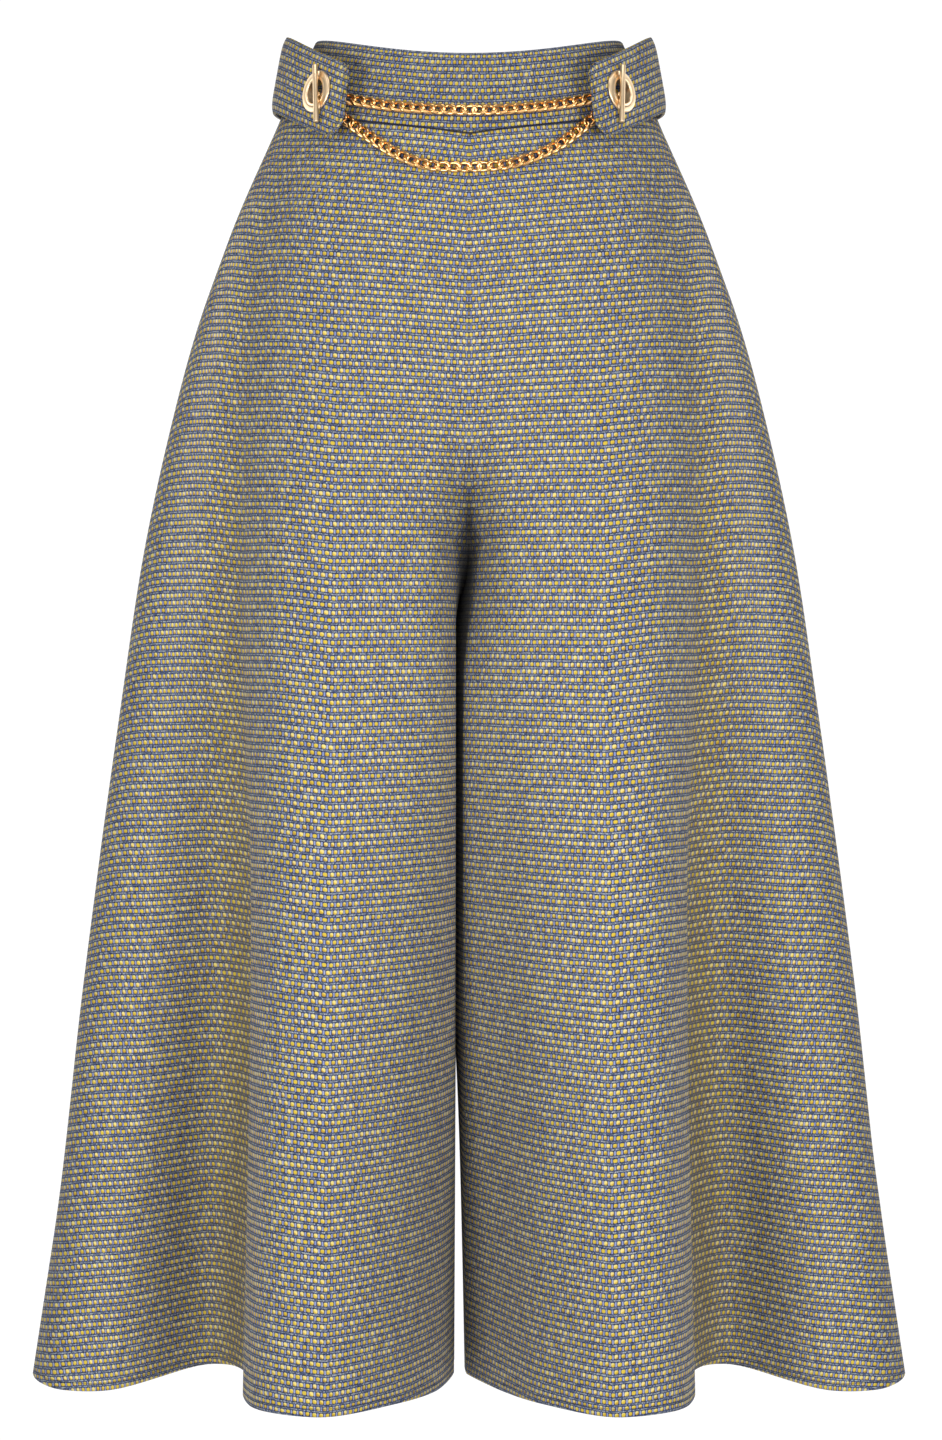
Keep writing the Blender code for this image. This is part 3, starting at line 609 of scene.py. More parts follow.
def fold_line(fold, side, is_front, heights):
    seam = seam_height(fold.waist_angle, is_front)
    waist_out, waist_deep = oval(fold.waist_angle, BAND_FOOT_SIDE, BAND_FOOT_FORE, is_front)
    near_waist = 1 - np.minimum((-BAND_FALL - heights) / DIP_REACH, 1.0)
    lowered = heights + (seam + BAND_FALL) * near_waist**2
    levels = (seam,) + LEVELS
    sign = -1 if is_front else 1
    out = hermite(levels, (waist_out,) + tuple(mm * MM for mm in fold.out), lowered)
    deep = hermite(levels, (waist_deep * sign,) + tuple(mm * MM for mm in fold.deep), lowered) * sign
    across = gap_edge(side, heights) if fold.name == "centre" else side * out
    down = (-BAND_FALL - heights) / (-BAND_FALL - HEM)
    return placed(across, deep, lowered + fold.hem_lift * MM * down**HEM_LIFT_POWER)


def side_line(side, heights):
    levels = (-BAND_FALL,) + tuple(row.height for row in SIDE_LINE)
    halves = (BAND_FOOT_SIDE,) + tuple(row.half for row in SIDE_LINE)
    return placed(side * hermite(levels, halves, heights), 0.0, heights)


def wall_line(edge, side, heights, share):
    """The inner wall, at a share of the way from a leg's front or back edge to its inseam."""
    turn = math.radians(90 * share)
    fallen = ramp(heights, FORK_FRONT, HEM)
    lower_row = SADDLE_OF * fallen ** (1 / LOWER_ROWS_CROWDED)
    droop = FORK_DROP * math.sin(turn) * np.maximum(0.0, 1 - lower_row / SADDLE_ROWS) ** SADDLE_POWER
    height = edge[:, 2] - droop
    opened = np.maximum(0.0, (WALL_SHUT_TO - height) / (WALL_SHUT_TO - HEM)) ** WALL_OPENS_POWER
    half = mixed(WALL_SHUT, WALL_HALF_AT_HEM, opened) * np.clip(lower_row / SADDLE_ROWS, 0.0, 1.0)
    bow = mixed(WALL_BOW, WALL_BOW_AT_HEM, opened)
    lean = (gap_edge(1, height) + gap_edge(-1, height)) / 2
    edge_half = np.abs(edge[:, 0] - lean)
    middle = lean + bow * math.sin(turn) ** 2
    across = middle + side * (half + (edge_half - half) * math.cos(turn) ** WALL_CLOSES_POWER)
    on_seam = np.interp(lower_row, (0, 1, 2), (1.0, 0.3, 0.0))
    return placed(mixed(across, side * SEAM_GAP / 2, on_seam), edge[:, 1] * math.cos(turn), height)


def leg_surface(side):
    """One leg and its half of the hips as points by row and column, with no thickness. Columns run from the
    inseam round the front, the side and the back to the inseam again. No wall points lie above the fork."""
    heights = row_heights()
    front = [fold_line(fold, side, True, heights) for fold in FRONT_FOLDS]
    back = [fold_line(fold, side, False, heights) for fold in BACK_FOLDS]
    shares = [step / WALL_STEPS for step in range(1, WALL_STEPS + 1)]
    front_wall = [wall_line(front[0], side, heights, share) for share in shares]
    back_wall = [wall_line(back[0], side, heights, share) for share in shares]
    front_wall[-1] = back_wall[-1] = (front_wall[-1] + back_wall[-1]) / 2
    turning = ramp(heights, LAST_WHOLE_ROW, FORK_FRONT)[:, None]
    mirror = np.array((-1.0, 1.0, 1.0))
    guide = WALL_STEPS // 4 - 1
    before = mixed(front[1] * mirror, front_wall[guide], turning)
    after = mixed(back[1] * mirror, back_wall[guide], turning)
    controls = [before] + front + [side_line(side, heights)] + back[::-1] + [after]
    main = curve_through(controls, SPAN_STEPS)
    columns = front_wall[::-1] + main + back_wall
    points = np.stack(columns, axis=1)
    points[:UPPER_ROWS, :WALL_STEPS] = np.nan
    points[:UPPER_ROWS, -WALL_STEPS:] = np.nan
    return points


def flared(points):
    """The same surface with the cloth turned to the front at the flare."""
    points = points.copy()
    half = (points.shape[1] - 1) / 2
    places = np.abs(np.arange(points.shape[1]) - half) / (half - WALL_STEPS)
    shares = np.clip(1 - places, 0.0, 1.0)
    moved = FLARE_FOLD_IN * hump(shares, FLARE_FOLD_SHARE, FLARE_FOLD_HALF)
    moved = moved - FLARE_OUT * hump(shares, FLARE_SHARE, FLARE_HALF) * (1 - shares**FLARE_SEAM_POWER)
    moved = np.where(np.arange(points.shape[1]) < points.shape[1] / 2, moved, -BACK_FLARE * moved)
    points[..., 1] += moved * read_at(row_heights(), FLARE_HEIGHTS, (0, 1, 1, 0))[:, None]
    return points


def sunk(points):
    """The same surface with the cloth sunk in round the fork."""
    points = points.copy()
    near = (points[..., 0] / FUNNEL_HALF) ** 2 + ((points[..., 2] - FUNNEL_HEIGHT) / FUNNEL_TALL) ** 2
    points[..., 1] *= 1 - FUNNEL_DEPTH * np.exp(-near)
    return points


def quad_corners(shape):
    rows, columns = shape[0] - 1, shape[1] - 1
    return [(slice(r, r + rows), slice(c, c + columns)) for r, c in ((0, 0), (0, 1), (1, 1), (1, 0))]


def normals_of(points, outward):
    """Outward unit normals of a surface by row and column. outward is +1 or -1, as the columns run."""
    corners = quad_corners(points.shape)
    a, b, c, d = (points[corner] for corner in corners)
    faces = np.nan_to_num(np.cross(c - a, b - d)) * outward
    normals = np.zeros_like(points)
    for corner in corners:
        normals[corner] += faces
    return normals


def unit(vectors):
    return vectors / np.maximum(np.linalg.norm(vectors, axis=-1, keepdims=True), 1e-12)


def lengths_along(points, axis):
    """The way along rows (axis 1) or columns (axis 0) up to each point, not counting what is missing."""
    steps = np.nan_to_num(np.linalg.norm(np.diff(points, axis=axis), axis=-1))
    start = np.zeros_like(np.take(steps, [0], axis=axis))
    return np.cumsum(np.concatenate([start, steps], axis=axis), axis=axis)


def laid_flat(points, grain, inseam):
    """Where each point lies in the flat cut, in metres. The grain's column is upright. From it to the inseam
    the rows are level but for a slight chevron, and to the side the columns fan out as the cloth widens."""
    shares = np.abs(np.arange(points.shape[1]) - inseam) / (points.shape[1] - 1)
    weave = np.interp(shares, FLARE_WEAVE_SHARES, FLARE_WEAVE_DEPTHS)
    steps = np.diff(points, axis=1) * np.stack([np.ones_like(weave), weave, np.ones_like(weave)], axis=1)[1:]
    points = points * np.array((1.0, WEAVE_DEPTH, 1.0))
    fallen = lengths_along(points, 0)
    first = np.argmax(np.isfinite(points[..., 0]), axis=0)
    cut = np.full(points.shape[:2] + (2,), np.nan)
    cut[:, grain] = np.stack([np.zeros(len(points)), -fallen[:, grain]], axis=1)
    inward = 1 if inseam > grain else -1
    for column in range(grain, inseam, inward):
        row = first[column + inward]
        beside = points[row:, column + inward]
        across = cut[row:, column, 0] + inward * np.linalg.norm(beside - points[row:, column], axis=1)
        level = read_at(beside[:, 2], points[:, grain, 2], cut[:, grain, 1])
        tilt = read_at(beside[:, 2], CHEVRON_HEIGHTS, CHEVRON_TILTS)
        cut[row:, column + inward] = np.stack([across, level + tilt * np.abs(across)], axis=1)
    outward, fan = -inward, 0.0
    for column in range(grain, points.shape[1] - 1 - inseam, outward):
        beside = column + outward
        row = max(first[column], first[beside])
        widths = np.linalg.norm(steps[row:, min(column, beside)], axis=1)
        depths = fallen[row:, beside] - fallen[row, beside]
        spread = np.polyfit(depths, widths, 1)[0]
        middle = fan + spread / 2
        across = np.array((outward * math.cos(middle), math.sin(middle)))
        halfway = np.array((outward * math.sin(middle), -math.cos(middle)))
        fan += spread
        down = np.array((outward * math.sin(fan), -math.cos(fan)))
        step = points[row, beside] - points[row, column]
        way = unit(points[row + GRAIN_REACH, column] - points[row, column])
        dropped = step @ way
        level_way = math.sqrt(max(widths[0] ** 2 - dropped**2, 0.0))
        start = cut[row, column] + across * level_way + halfway * dropped
        cut[row:, beside] = start + depths[:, None] * down
    return cut


def creased(points, normals, creases, shares, heights):
    """Moves a panel's points in along its troughs and out along its ridges."""
    moved = np.zeros(points.shape[:2])
    reach = np.array((PANEL_REACH, 1.0))
    place = np.stack([shares, heights], axis=-1) * reach
    for crease in creases:
        start = np.array((crease.from_share, crease.from_height)) * reach
        end = np.array((crease.to_share, crease.to_height)) * reach
        along = end - start
        t = ((place - start) @ along) / (along @ along)
        off = np.linalg.norm(place - start - np.clip(t, 0, 1)[..., None] * along, axis=-1)
        fade = np.clip(np.minimum(t, 1 - t) * CREASE_FADE_RISE + CREASE_FADE_FROM, 0.0, 1.0)
        moved -= crease.depth * MM * hump(off, 0.0, crease.width * MM) * fade**2 * (3 - 2 * fade)
    return points + normals * moved[..., None]


# --- Cloth shells

RIM_STEPS = 4


def shell(name, points, normals, layers, thickness, roll, material):
    """A closed cloth wall with rounded rims. roll is how far each point of the border curls over, in metres,
    and thickness is given by point. layers holds the UV maps by name: the flat cut comes first."""
    rows, columns = points.shape[:2]
    index = np.arange(rows * columns).reshape(rows, columns)
    valid = np.isfinite(points[..., 0])
    corners = quad_corners(points.shape)
    whole = np.all([valid[corner] for corner in corners], axis=0)
    quads = np.stack([index[corner][whole] for corner in corners], axis=1)
    flat_points, flat_normals = points.reshape(-1, 3), normals.reshape(-1, 3)
    a, b, d = flat_points[quads[0, 0]], flat_points[quads[0, 1]], flat_points[quads[0, 3]]
    if np.dot(np.cross(d - a, b - a), flat_normals[quads[0, 0]]) > 0:
        quads = quads[:, ::-1]
    flat_layers = [layer.reshape(-1, 2) for layer in layers.values()]
    flat_cut = flat_layers[0]
    thick, curl = np.broadcast_to(thickness, (rows, columns)).ravel(), roll.ravel()

    sides = {}
    for quad in quads.tolist():
        for place in range(4):
            sides[quad[place], quad[(place + 1) % 4]] = quad[(place + 3) % 4], quad[(place + 2) % 4]
    border = {edge: inner for edge, inner in sides.items() if edge[::-1] not in sides}
    outward, outward_cut = {}, {}
    for (start, end), (beside_start, beside_end) in border.items():
        for corner, beside in ((start, beside_start), (end, beside_end)):
            along = unit(flat_points[end] - flat_points[start])
            away = np.cross(along, flat_normals[corner])
            away *= np.sign(np.dot(away, flat_points[corner] - flat_points[beside])) or 1.0
            along_cut = unit(flat_cut[end] - flat_cut[start])
            away_cut = flat_cut[corner] - flat_cut[beside]
            away_cut -= along_cut * (away_cut @ along_cut)
            outward[corner] = outward.get(corner, 0) + unit(away)
            outward_cut[corner] = outward_cut.get(corner, 0) + unit(away_cut) / 2

    keys = np.flatnonzero(valid.ravel())
    where = np.full(rows * columns, -1)
    where[keys] = np.arange(len(keys))
    rim_keys = np.array(sorted(outward))
    rim_away = unit(np.array([outward[key] for key in rim_keys]))
    rim_cut = np.array([outward_cut[key] for key in rim_keys])
    outer = flat_points.copy()
    outer[rim_keys] -= rim_away * curl[rim_keys, None]
    inner = outer - flat_normals * thick[:, None]
    vertices = [outer[keys], inner[keys]]
    maps = [[layer[keys] for layer in flat_layers]] * 2
    for step in range(1, RIM_STEPS):
        turn = math.pi * step / RIM_STEPS
        middle = (outer[rim_keys] + inner[rim_keys]) / 2
        half = flat_normals[rim_keys] * thick[rim_keys, None] / 2
        vertices.append(middle + half * math.cos(turn) + rim_away * curl[rim_keys, None] * math.sin(turn))
        way = thick[rim_keys, None] / 2 * (1 - math.cos(turn))
        maps.append([flat_cut[rim_keys] + rim_cut * way] + [layer[rim_keys] for layer in flat_layers[1:]])

    count, rim_count = len(keys), len(rim_keys)
    rim_place = {key: place for place, key in enumerate(rim_keys.tolist())}

    def level(key, step):
        """The vertex of a border point at a step of the way over the rim."""
        if step == 0:
            return where[key]
        if step == RIM_STEPS:
            return where[key] + count
        return 2 * count + (step - 1) * rim_count + rim_place[key]

    faces = [where[quads], where[quads][:, ::-1] + count]
    rims = []
    for start, end in border:
        for step in range(RIM_STEPS):
            rims.append((level(end, step), level(start, step), level(start, step + 1), level(end, step + 1)))
    faces.append(np.array(rims))
    made = mesh_of(name, np.concatenate(vertices), np.concatenate(faces), material)
    loops = np.zeros(len(made.data.loops), int)
    made.data.loops.foreach_get("vertex_index", loops)
    for place, layer_name in enumerate(layers):
        values = np.concatenate([level_maps[place] for level_maps in maps])
        layer = made.data.uv_layers.new(name=layer_name)
        layer.data.foreach_set("uv", values[loops].astype(np.float32).ravel())
    return made


def mesh_of(name, vertices, faces, material):
    """An object from arrays of vertices and of faces with four corners."""
    mesh = bpy.data.meshes.new(name)
    mesh.vertices.add(len(vertices))
    mesh.vertices.foreach_set("co", np.asarray(vertices, np.float32).ravel())
    mesh.loops.add(faces.size)
    mesh.loops.foreach_set("vertex_index", faces.astype(np.int32).ravel())
    mesh.polygons.add(len(faces))
    mesh.polygons.foreach_set("loop_start", np.arange(len(faces), dtype=np.int32) * faces.shape[1])
    mesh.update(calc_edges=True)
    mesh.validate()
    mesh.shade_smooth()
    mesh.materials.append(material)
    return added(name, mesh)


def applied(made, kind, **settings):
    """Selects an object alone, and applies a modifier with these settings to it."""
    bpy.ops.object.select_all(action="DESELECT")
    made.select_set(True)
    bpy.context.view_layer.objects.active = made
    modifier = made.modifiers.new("shaping", kind)
    for key, value in settings.items():
        setattr(modifier, key, value)
    bpy.ops.object.modifier_apply(modifier=modifier.name)


def finished(piece, node):
    """A piece that stands for one node: it rides with the root, and the node's own part is hidden."""
    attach(piece, "root")
    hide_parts(node)


# --- Legs

SIDE_SEAM_SOFTER = 0.75 * MM
# Where painted shade falls on the legs: along the fold beside the flare, round the fork's hollow and on the
# lower inner legs.
FOLD_MIDDLE, FOLD_HALF = 0.63, 0.075
FOLD_FROM, FOLD_FULL = -0.10, -0.62
INNER_MIDDLE, INNER_HALF, INNER_FROM, INNER_FULL = 0.10, 0.15, -0.45, -0.75
INNER_SHADE, FOLD_SHADE = 0.22, 0.17
HOLLOW_HALF, HOLLOW_FROM, HOLLOW_FULL, HOLLOW_POWER = 10.5 * MM, -0.230, -0.298, 1.5
HOLLOW_LEAST, HOLLOW_AT_EDGE, HOLLOW_SLOPE = 0.55, 1.6, -40
FRONT_HOLLOW_ENDS, WALL_HOLLOW_ENDS = (-0.34, -0.42), (-0.52, -0.66)
HEM_ROLL = 0.45


def leg_panels(side, hand, tweed):
    surface = flared(leg_surface(side))
    worn = sunk(surface)
    summed = normals_of(worn, side)
    summed[:, 0] = summed[:, -1] = summed[:, 0] + summed[:, -1]
    last = surface.shape[1] - 1
    middle = last // 2
    summed[:UPPER_ROWS, (WALL_STEPS, last - WALL_STEPS), 0] = 0.0
    normals = unit(summed)
    for part, low, high, folds, creases in (
        ("front", 0, middle, FRONT_FOLDS, FRONT_CREASES[hand]),
        ("back", middle, last, BACK_FOLDS, BACK_CREASES[hand]),
    ):
        count, facing = high - low, normals[:, low : high + 1]
        grain = [fold.name for fold in folds].index(GRAIN_FOLD) * SPAN_STEPS + WALL_STEPS
        shares = (np.arange(count + 1) - WALL_STEPS) / (count - WALL_STEPS)
        inseam = 0
        if part == "back":
            grain, shares, inseam = count - grain, shares[::-1], count
        cut = laid_flat(surface[:, low : high + 1], grain, inseam)
        grid_shares, grid_heights = np.meshgrid(shares, row_heights())
        points = creased(worn[:, low : high + 1], facing, creases, grid_shares, grid_heights)
        run = lengths_along(points, 1)
        from_side = np.minimum(run, run[:, -1:] - run)
        fall = lengths_along(points, 0)
        from_hem = fall[-1] - fall
        from_waist = np.broadcast_to(grid_heights[0] - grid_heights, fall.shape)
        edges = np.stack([np.minimum(from_waist, from_side + SIDE_SEAM_SOFTER), from_hem], axis=-1)
        turned_up = 1 - np.clip((from_hem - HEM_TURN_UP) / (2 * MM), 0.0, 1.0)
        thickness = PANEL_CLOTH + HEM_EXTRA * turned_up
        roll = np.full(points.shape[:2], CENTRE_ROLL)
        roll[0] = SEAM_ROLL
        roll[-1] = thickness[-1] * HEM_ROLL
        name = f"{part}_{hand}"
        # Painted shade for the "folds" layer: darker and yellower along the fold, dark in the hollow round
        # the fork and on its walls, and a little on the lower inner legs.
        fold = hump(grid_shares, FOLD_MIDDLE, FOLD_HALF) * ramp(grid_heights, FOLD_FROM, FOLD_FULL)
        hollow = hump(points[..., 0], 0.0, HOLLOW_HALF)
        hollow *= np.clip(grid_shares * HOLLOW_SLOPE + HOLLOW_AT_EDGE, HOLLOW_LEAST, 1.0)
        hollow *= read_at(grid_heights, FRONT_HOLLOW_ENDS, (1.0, 0.0))
        hollow = np.where(grid_shares < 0, read_at(grid_heights, WALL_HOLLOW_ENDS, (1.0, 0.0)), hollow)
        hollow *= ramp(grid_heights, HOLLOW_FROM, HOLLOW_FULL) ** HOLLOW_POWER
        hollow[np.isnan(hollow)] = 0.0
        shade = INNER_SHADE * hump(grid_shares, INNER_MIDDLE, INNER_HALF) + FOLD_SHADE * fold
        hollow = np.maximum(hollow, ramp(grid_heights, INNER_FROM, INNER_FULL) * shade)
        layers = {"cut": cut, "edges": edges, "folds": np.stack([fold, hollow], axis=-1)}
        made = shell(f"{name}_cloth", points, facing, layers, thickness, roll, tweed)
        finished(made, name)


# --- Waistband

BAND_COLUMNS, BAND_ROWS = 120, 12
# Painted shade that darkens all of the waistband's colour a little.
BAND_SHADE = 0.13


def band_surface(is_front):
    points = np.zeros((BAND_ROWS + 1, BAND_COLUMNS + 1, 3))
    for column in range(BAND_COLUMNS + 1):
        turn = 180 * column / BAND_COLUMNS - 90
        angle, side = abs(turn), math.copysign(1, turn)
        top_out, top_deep = oval(angle, BAND_TOP_SIDE, BAND_TOP_FORE, is_front)
        foot_out, foot_deep = oval(angle, BAND_FOOT_SIDE, BAND_FOOT_FORE, is_front)
        top = np.array((side * top_out, top_deep, top_height(angle, is_front)))
        foot = np.array((side * foot_out, foot_deep, seam_height(angle, is_front)))
        for row in range(BAND_ROWS + 1):
            points[row, column] = mixed(top, foot, row / BAND_ROWS)
    return points


def waistband(is_front, tweed):
    part = "front" if is_front else "back"
    points = band_surface(is_front)
    normals = unit(normals_of(points, 1 if is_front else -1))
    normals[:, (0, -1), 1] = 0.0
    normals = unit(normals)
    run, fall = lengths_along(points, 1), lengths_along(points, 0)
    middle = run[BAND_ROWS // 2]
    cut = np.stack(np.broadcast_arrays(middle[None], -fall), axis=-1)
    from_side = np.minimum(run, run[:, -1:] - run)
    from_seam = np.minimum(from_side + SIDE_SEAM_SOFTER, fall[-1] - fall)
    edges = np.stack([from_seam, np.full_like(run, 1.0)], axis=-1)
    roll = np.full(points.shape[:2], CENTRE_ROLL)
    roll[0] = BAND_CLOTH * 0.5
    roll[-1] = SEAM_ROLL
    node = f"waistband_{part}"
    layers = {"cut": cut, "edges": edges, "folds": np.full_like(edges, (0.0, BAND_SHADE))}
    made = shell(f"{node}_cloth", points, normals, layers, BAND_CLOTH, roll, tweed)
    finished(made, node)


# --- Belt

BELT_HALF_WIDTH = 0.0255
BELT_SIDE, BELT_FORE, BELT_AFT = 0.1272, 0.1130, 0.1040
BELT_FLARE_SIDE, BELT_FLARE_FORE, BELT_FLARE_AFT = 0.182, 0.120, 0.205
BELT_END_ANGLE = 35
BELT_DROP, BELT_DROP_FROM, BELT_DROP_POWER = 0.028, 92, 1.7
BELT_SPRING, BELT_SPRING_FROM = 0.008, 72
BELT_LIFT, BELT_LIFT_ANGLE, BELT_LIFT_REACH = 2.3 * MM, 85, 24
BELT_TOP_CORNER, BELT_FOOT_CORNER = 0.009, 0.020
BELT_COLUMNS, BELT_CORNER_COLUMNS, BELT_ROWS = 260, 14, 14
BELT_EASE, BELT_EASE_POWER = 2.4 * MM, 6
TAB_WEAVE_FROM, TAB_WEAVE_FULL, TAB_WEAVE_DEPTH = 90, 120, 0.6
EYELET_ANGLE = 46.6
BARREL_RADIUS, PUNCH_SIDES = 0.0086, 64


def belt_point(angle, rise):
    """A point on the belt's outer face, by its angle from centre front to +X and its rise from the middle."""
    turn = angle if angle <= 180 else 360 - angle
    side = 1 if angle <= 180 else -1
    share = max(0.0, (BELT_DROP_FROM - turn) / (BELT_DROP_FROM - BELT_END_ANGLE))
    height = rise - BELT_DROP * share**BELT_DROP_POWER
    height += BELT_LIFT * hump(turn, BELT_LIFT_ANGLE, BELT_LIFT_REACH)
    across, ahead = math.sin(math.radians(turn)), math.cos(math.radians(turn))
    wide = BELT_SIDE - BELT_FLARE_SIDE * height
    deep = BELT_FORE - BELT_FLARE_FORE * height if turn < 90 else BELT_AFT - BELT_FLARE_AFT * height
    springing = max(0.0, (BELT_SPRING_FROM - turn) / (BELT_SPRING_FROM - BELT_END_ANGLE))
    sprung = BELT_SPRING * springing**2
    return Vector((side * (wide + sprung) * across, -(deep + sprung) * ahead, height))


def belt_frame(angle):
    point = belt_point(angle, 0.0)
    along = belt_point(angle + 1, 0.0) - belt_point(angle - 1, 0.0)
    up = belt_point(angle, 0.005) - belt_point(angle, -0.005)
    normal = along.cross(up).normalized()
    if normal.dot(Vector((point.x, point.y, 0.0))) < 0:
        normal = -normal
    return point, normal, (up - normal * up.dot(normal)).normalized()


def corner_cut(inset, radius):
    return radius - math.sqrt(radius**2 - max(0.0, radius - inset) ** 2)


def belt_columns():
    """The belt's columns as (angle, top, foot), with the ends' corners rounded."""
    degree = (belt_point(BELT_END_ANGLE + 1, 0.0) - belt_point(BELT_END_ANGLE, 0.0)).length
    ends = []
    for step in range(BELT_CORNER_COLUMNS):
        inset = BELT_FOOT_CORNER * (1 - math.cos(math.radians(90 * step / BELT_CORNER_COLUMNS)))
        top = BELT_HALF_WIDTH - corner_cut(inset, BELT_TOP_CORNER)
        foot = corner_cut(inset, BELT_FOOT_CORNER) - BELT_HALF_WIDTH
        ends.append((BELT_END_ANGLE + inset / degree, top, foot))
    start = BELT_END_ANGLE + BELT_FOOT_CORNER / degree
    turns = np.linspace(start, 360 - start, BELT_COLUMNS + 1)
    middle = [(turn, BELT_HALF_WIDTH, -BELT_HALF_WIDTH) for turn in turns]
    return ends + middle + [(360 - turn, top, foot) for turn, top, foot in reversed(ends)]


def eyelet_place(side):
    """A matrix whose Z axis leaves the belt's face at an eyelet, with Y up the belt."""
    point, normal, up = belt_frame(EYELET_ANGLE if side > 0 else 360 - EYELET_ANGLE)
    turned = Matrix((up.cross(normal), up, normal)).transposed().to_4x4()
    return Matrix.Translation(point) @ turned


def belt(tweed):
    columns = belt_columns()
    points = np.zeros((BELT_ROWS + 1, len(columns), 3))
    rises = np.zeros((BELT_ROWS + 1, len(columns)))
    for column, (angle, top, foot) in enumerate(columns):
        for row in range(BELT_ROWS + 1):
            share = (1 - math.cos(math.pi * row / BELT_ROWS)) / 2
            rises[row, column] = top + (foot - top) * share
            point, out, _ = belt_frame(angle)
            eased = BELT_EASE * abs(rises[row, column] / BELT_HALF_WIDTH) ** BELT_EASE_POWER
            points[row, column] = belt_point(angle, rises[row, column]) - out * eased
    normals = unit(normals_of(points, 1))
    reach = (TAB_WEAVE_FROM, TAB_WEAVE_FULL)
    ease = [np.interp(abs(180 - angle), reach, (1.0, TAB_WEAVE_DEPTH)) for angle, _, _ in columns]
    middle = np.array([belt_point(angle, 0.0) for angle, _, _ in columns])
    middle[:, 1] *= ease
    run = lengths_along(middle[None], 1)
    cut = np.stack(np.broadcast_arrays(run, rises), axis=-1)
    edges = np.full(points.shape[:2] + (2,), 1.0)
    roll = np.full(points.shape[:2], BELT_CLOTH * 0.5)
    layers = {"cut": cut, "edges": edges, "folds": np.zeros_like(edges)}
    made = shell("belt_cloth", points, normals, layers, BELT_CLOTH, roll, tweed)
    for side in (1, -1):
        bpy.ops.mesh.primitive_cylinder_add(vertices=PUNCH_SIDES, radius=BARREL_RADIUS, depth=4 * BELT_CLOTH)
        punch = bpy.context.object
        punch.matrix_world = eyelet_place(side)
        applied(made, "BOOLEAN", operation="DIFFERENCE", object=punch)
        bpy.data.objects.remove(punch)
    finished(made, "belt")


# --- Eyelets and toggles

RING_RADIUS, BORE_RADIUS, WASHER_RADIUS = 0.0139, 0.0078, 0.0115
RING_SEAT, RING_RIM, RING_EDGE, RING_DOME = 0.4 * MM, 1.2 * MM, 0.5 * MM, 2.2 * MM
WASHER_SEAT, WASHER_THICKNESS = 0.9 * MM, 0.7 * MM
BAR_RADIUS, BAR_LENGTH, BAR_STAND = 1.8 * MM, 0.040, 4.6 * MM
BAR_LEAN, BAR_SLIP, BAR_SAG = 0.03, 4.0 * MM, 3.7 * MM
STEM_RADIUS, EYE_RADIUS, EYE_THICKNESS, EYE_DEPTH = 1.3 * MM, 3.2 * MM, 1.5 * MM, 8.0 * MM
RING_TUCK, RING_DISH, RING_SIDES, RING_SOFTNESS = 0.2 * MM, 0.3 * MM, 72, 0.22 * MM
BAR_SIDES, STEM_SIDES, EYE_SIDES, EYE_WIRE_SIDES = 40, 28, 36, 14
COLLAR_SHARE, COLLAR_HEIGHT, COLLAR_DROP = 1.35, 1.0 * MM, 0.3 * MM
SHARP_DEGREES, SMOOTH_DEGREES = 30, 35

# The dome of a ring from its foot to its lip: so many mm out from the bore, and above the dome's own height
DOME_STEPS = ((2.9, -0.55), (2.4, -0.35), (1.9, 0.0), (0.5, 0.1))


def settled(made, place=Matrix.Identity(4)):
    """Puts an object's place, and one more on top of it, into its mesh."""
    made.data.transform(place @ made.matrix_world)
    made.matrix_world = Matrix.Identity(4)


def eyelet(side, hand, gold):
    """A flat ring with a softly domed inner lip, drawn out ring by ring from a circle, and closed behind."""
    behind = -BELT_CLOTH - WASHER_SEAT
    profile = (
        (BARREL_RADIUS - RING_TUCK, RING_SEAT),
        (RING_RADIUS - RING_TUCK, RING_SEAT - RING_DISH),
        (RING_RADIUS, RING_SEAT),
        (RING_RADIUS, RING_SEAT + RING_RIM - RING_EDGE),
        (RING_RADIUS - RING_EDGE, RING_SEAT + RING_RIM),
        *((BORE_RADIUS + out * MM, RING_DOME + up * MM) for out, up in DOME_STEPS),
        (BORE_RADIUS, RING_DOME - RING_EDGE),
        (BORE_RADIUS, behind - WASHER_THICKNESS),
        (WASHER_RADIUS, behind - WASHER_THICKNESS),
        (WASHER_RADIUS, behind),
        (BARREL_RADIUS - RING_TUCK, behind),
    )
    radius, height = profile[0]
    bpy.ops.mesh.primitive_circle_add(vertices=RING_SIDES, radius=radius, location=(0.0, 0.0, height))
    made = bpy.context.object
    made.name = f"eyelet_{hand}_ring"
    bpy.ops.object.mode_set(mode="EDIT")
    for new_radius, new_height in profile[1:]:
        bpy.ops.mesh.extrude_edges_move()
        bpy.ops.transform.resize(value=(new_radius / radius, new_radius / radius, 1.0))
        bpy.ops.transform.translate(value=(0.0, 0.0, new_height - height))
        radius, height = new_radius, new_height
    bpy.ops.mesh.select_all(action="DESELECT")
    bpy.ops.mesh.select_non_manifold()
    bpy.ops.mesh.bridge_edge_loops()
    bpy.ops.mesh.select_all(action="SELECT")
    bpy.ops.mesh.normals_make_consistent(inside=False)
    bpy.ops.object.mode_set(mode="OBJECT")
    softened(made, RING_SOFTNESS)
    made.data.materials.append(gold)
    settled(made, eyelet_place(side))
    finished(made, f"eyelet_{hand}")


def softened(made, width):
    """Rounds an object's sharp edges and shades the rest smooth."""
    sharp = math.radians(SHARP_DEGREES)
    applied(made, "BEVEL", width=width, segments=3, limit_method="ANGLE", angle_limit=sharp)
    bpy.ops.object.shade_smooth_by_angle(angle=math.radians(SMOOTH_DEGREES))


